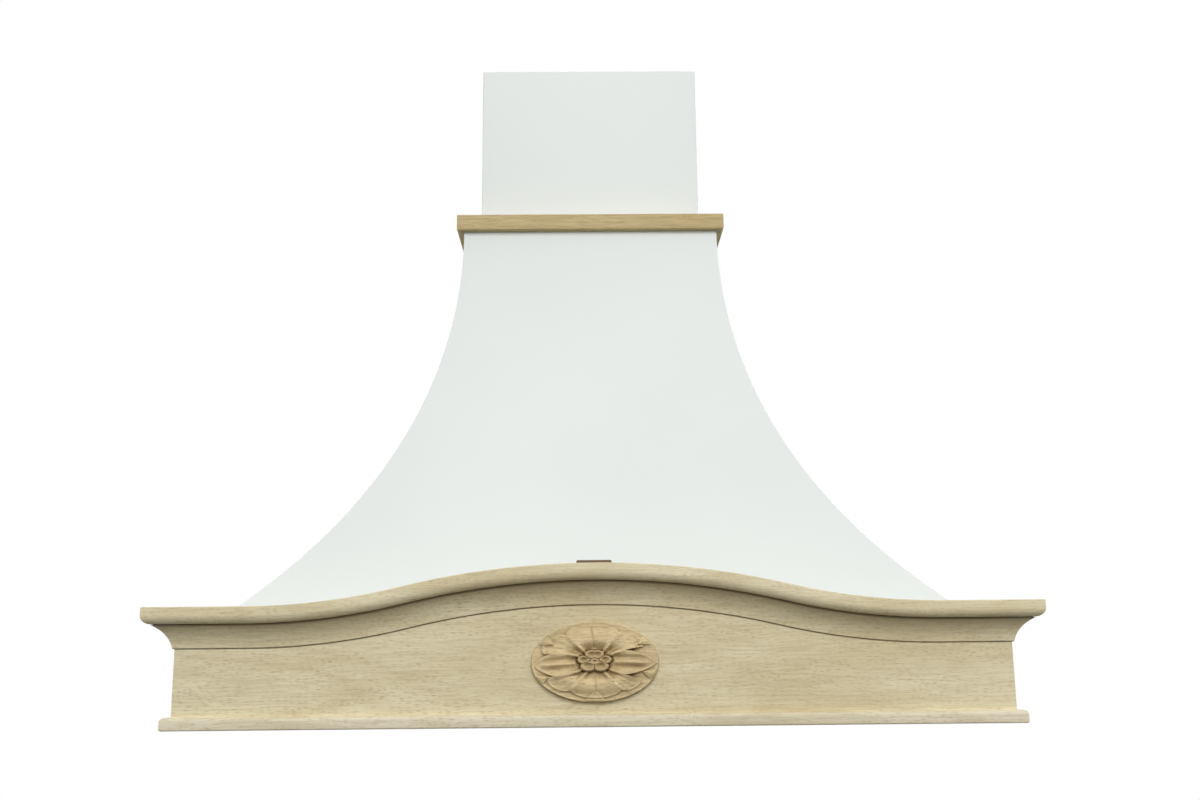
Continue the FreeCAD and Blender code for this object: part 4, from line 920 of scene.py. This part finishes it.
def screw_head(place, axis, radius=4.0 * MM, tall=2.0 * MM, steps=24):
    """A low dome from a short table of reach and height, less a cross recess."""
    far = np.array([1.0, 1.0, 0.93, 0.8, 0.6, 0.42, 0.26, 0.12])
    lift = np.array([0.0, 0.45, 0.75, 0.93, 1.0, 1.0, 1.0, 1.0])
    turn = np.linspace(0, 2 * math.pi, steps, endpoint=False)
    across, up = far[:, None] * np.cos(turn), far[:, None] * np.sin(turn)
    cross = (np.minimum(np.abs(across), np.abs(up)) < 0.13) & (np.hypot(across, up) < 0.55)
    height = tall * (lift[:, None] - 0.45 * cross)
    axis = Vector(axis).normalized()
    aside = axis.orthogonal().normalized()
    other = axis.cross(aside)
    return (np.array(place) + radius * across[..., None] * np.array(aside)
            + radius * up[..., None] * np.array(other) + height[..., None] * np.array(axis))


def add_screws(name, places, axis):
    """Like screw heads as one piece."""
    rings = [screw_head(place, axis) for place in places]
    stations, steps = rings[0].shape[:2]
    quads, caps = tube_faces(stations, steps)
    starts = np.arange(len(rings)) * stations * steps
    faces = (quads[None] + starts[:, None, None]).reshape(-1, 4)
    ends = [[corner + start for corner in cap] for start in starts.tolist() for cap in caps]
    points = np.concatenate([ring.reshape(-1, 3) for ring in rings])
    add_piece(name, points, faces, ends, steel(), [])


class HOOD_OT_tray(bpy.types.Operator):
    """Finish of the tray, its filters, lamps and switches, and of the plastic mouldings"""
    bl_idname = "hood.tray"
    bl_label = "Tray, filters and switches"

    def execute(self, context):
        look = context.scene.hood_metal
        dress(coat("tray_coat", look.tray, rough=0.36), "liner_tray")
        filters = brushed("filter_aluminium", look.filter, 0.36, (900, 14, 900))
        dress(filters, "filter_frame_left", "filter_frame_right",
              "filter_baffles_left", "filter_baffles_right")
        black = moulded("black_moulding", look.black)
        dress(black, "latch_left", "latch_right", "switch_plate", "outlet_spigot", "terminal_box")
        grey = moulded("grey_moulding", look.grey)
        dress(grey, "speed_slider", "lamp_switch", "flap_front", "flap_rear", "impeller")
        rim = brushed("lamp_rim", look.steel, 0.24, (700, 700, 700))
        dress(rim, "lamp_housing_left", "lamp_housing_right")
        dress(frosted("lamp_glass", look.lens), "lamp_lens_left", "lamp_lens_right")
        return {"FINISHED"}


class HOOD_OT_fan(bpy.types.Operator):
    """Finish of the fan, the duct and the hidden sheet metal"""
    bl_idname = "hood.fan"
    bl_label = "Fan and duct"

    def execute(self, context):
        look = context.scene.hood_metal
        sheet = zinc("galvanised_sheet", look.zinc)
        dress(sheet, "back_panel", "neck_plate", "chimney_bracket", "blower_housing",
              "motor_bracket", "duct_transition")
        dress(steel(), "fan_shaft", "flap_pin")
        dress(coat("motor_coat", look.black, rough=0.5), "motor")
        return {"FINISHED"}


class HOOD_OT_screws(bpy.types.Operator):
    """Screw heads under the tray and on the flue cover"""
    bl_idname = "hood.screws"
    bl_label = "Screws"

    def execute(self, context):
        low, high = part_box("liner_tray")
        places = [(high.x - inset, into) for inset, into in EDGE_SCREWS] + list(INNER_SCREWS)
        tray = [(side * across, -into, low.z) for side in (-1, 1) for across, into in places]
        add_screws("tray_screw_heads", tray, (0, 0, -1))
        flue = context.scene.hood_flue
        into, under = FLUE_SCREW
        for name, side in SIDES:
            add_screws("flue_screw_head_" + name,
                       [(side * flue.half_width, -into, flue.top - under)], (side, 0, 0))
        return {"FINISHED"}


# ---- stage
# Name, place, target, width and share of the front light's power.
LAMPS = (("front_light", (0.1, -4.6, 2.3), (0, -0.3, 0.3), 3.0, 1.0),
         ("side_light", (2.6, -2.4, 1.5), (0, -0.3, 0.4), 2.0, 0.06),
         ("left_light", (-3.6, 0.3, 1.3), (0, -0.2, 0.3), 2.0, 0.26),
         ("right_light", (3.6, 0.3, 1.3), (0, -0.2, 0.3), 2.0, 0.26),
         ("rear_light", (0.5, 3.8, 1.6), (0, -0.2, 0.3), 2.4, 0.27),
         ("top_light", (0.0, -1.2, 3.2), (0, -0.25, 0.3), 2.4, 0.05))


def add_lamp(name, place, target, size, power):
    """A square soft white light that faces a point."""
    lamp = bpy.data.lights.new(name, "AREA")
    lamp.shape, lamp.size, lamp.energy = "SQUARE", size, power
    held = placed(name, lamp)
    held.location = place
    held.rotation_euler = (Vector(target) - Vector(place)).to_track_quat("-Z", "Y").to_euler()


class HOOD_OT_stage(bpy.types.Operator):
    """Camera, soft lights, white surround and pale floor"""
    bl_idname = "hood.stage"
    bl_label = "Stage"

    def execute(self, context):
        setting, scene = context.scene.hood_stage, context.scene
        lens = bpy.data.cameras.new("view")
        lens.lens, lens.sensor_width, lens.sensor_fit = setting.lens, 36.0, "HORIZONTAL"
        lens.clip_start, lens.clip_end = 0.05, 100.0
        scene.camera = placed("view", lens)
        scene.camera.matrix_world = (
            Matrix.Translation(setting.eye) @ Matrix.Rotation(-setting.yaw, 4, "Z")
            @ Matrix.Rotation(math.pi / 2 + setting.pitch, 4, "X")
            @ Matrix.Rotation(setting.roll, 4, "Z"))
        for name, place, target, size, share in LAMPS:
            add_lamp(name, place, target, size, setting.key * share)
        self.surround(scene, setting)
        self.floor(setting)
        scene.view_settings.view_transform = "Standard"
        return {"FINISHED"}

    @staticmethod
    def surround(scene, setting):
        """White where it is seen; as a light dimmer, and brightest from above."""
        world = bpy.data.worlds.new("surround")
        scene.world = world
        world.use_nodes = True
        air = Nodes(world.node_tree)
        toward = air.add("ShaderNodeTexCoord", out="Generated")
        up = air.add("ShaderNodeSeparateXYZ", {"Vector": toward}, out="Z")
        glow = air.spread(up, -0.5, 0.6, 0.22 * setting.ambient, setting.ambient)
        amount = air.add("ShaderNodeMapRange", {"Value": air.seen(), "To Min": glow})
        plain = air.add("ShaderNodeBackground", {"Strength": amount, "Color": (1, 1, 1, 1)})
        air.add("ShaderNodeOutputWorld", {"Surface": plain})

    @staticmethod
    def floor(setting, radius=30.0, sides=96):
        """A wide pale disc; what the camera sees of it is lifted to white, less the shadow."""
        turn = np.linspace(0, 2 * math.pi, sides, endpoint=False)
        points = np.stack([radius * np.cos(turn), radius * np.sin(turn),
                           np.full(sides, setting.floor)], 1)
        mesh = bpy.data.meshes.new("floor")
        mesh.from_pydata(points.tolist(), [], [list(range(sides))])
        finish = Finish("floor")
        grain = finish.noise(finish.place((40, 40, 40)))
        pale = finish.blend(grain, shade(214, 214, 212), shade(220, 220, 218))
        seen = finish.seen()
        plain = finish.add("ShaderNodeBsdfDiffuse",
                           {"Color": finish.blend(seen, shade(120, 120, 118), pale)})
        lift = finish.add("ShaderNodeEmission", {"Strength": finish.math("MULTIPLY", seen, 0.85)})
        both = finish.add("ShaderNodeAddShader", {0: plain, 1: lift})
        finish.add("ShaderNodeOutputMaterial", {"Surface": both})
        mesh.materials.append(finish.material)
        ground = placed("floor", mesh)


OPERATORS = (HOOD_OT_boards, HOOD_OT_base_strips, HOOD_OT_cornice, HOOD_OT_rosette,
             HOOD_OT_crest, HOOD_OT_dome, HOOD_OT_collar, HOOD_OT_flue, HOOD_OT_tray, HOOD_OT_fan,
             HOOD_OT_screws, HOOD_OT_stage)


class HOOD_PT_sidebar(bpy.types.Panel):
    """Lists the hood's pieces and their sizes"""
    bl_label = "Chimney hood"
    bl_idname = "HOOD_PT_sidebar"
    bl_space_type = "VIEW_3D"
    bl_region_type = "UI"
    bl_category = "Hood"

    def draw(self, context):
        for operator in OPERATORS:
            self.layout.operator(operator.bl_idname)
        for name, group in GROUPS.items():
            sizes = getattr(context.scene, name)
            box = self.layout.box()
            box.label(text=name.replace("_", " "))
            for key in group.__annotations__:
                box.prop(sizes, key)


def register():
    for made in (*GROUPS.values(), *OPERATORS, HOOD_PT_sidebar):
        bpy.utils.register_class(made)
    for name, group in GROUPS.items():
        setattr(bpy.types.Scene, name, bpy.props.PointerProperty(type=group))


def unregister():
    for name in GROUPS:
        delattr(bpy.types.Scene, name)
    for made in (HOOD_PT_sidebar, *OPERATORS, *GROUPS.values()):
        bpy.utils.unregister_class(made)


def main():
    """Build every piece and the stage."""
    register()
    for operator in OPERATORS:
        group, name = operator.bl_idname.split(".")
        getattr(getattr(bpy.ops, group), name)()


if __name__ == "__main__":
    main()
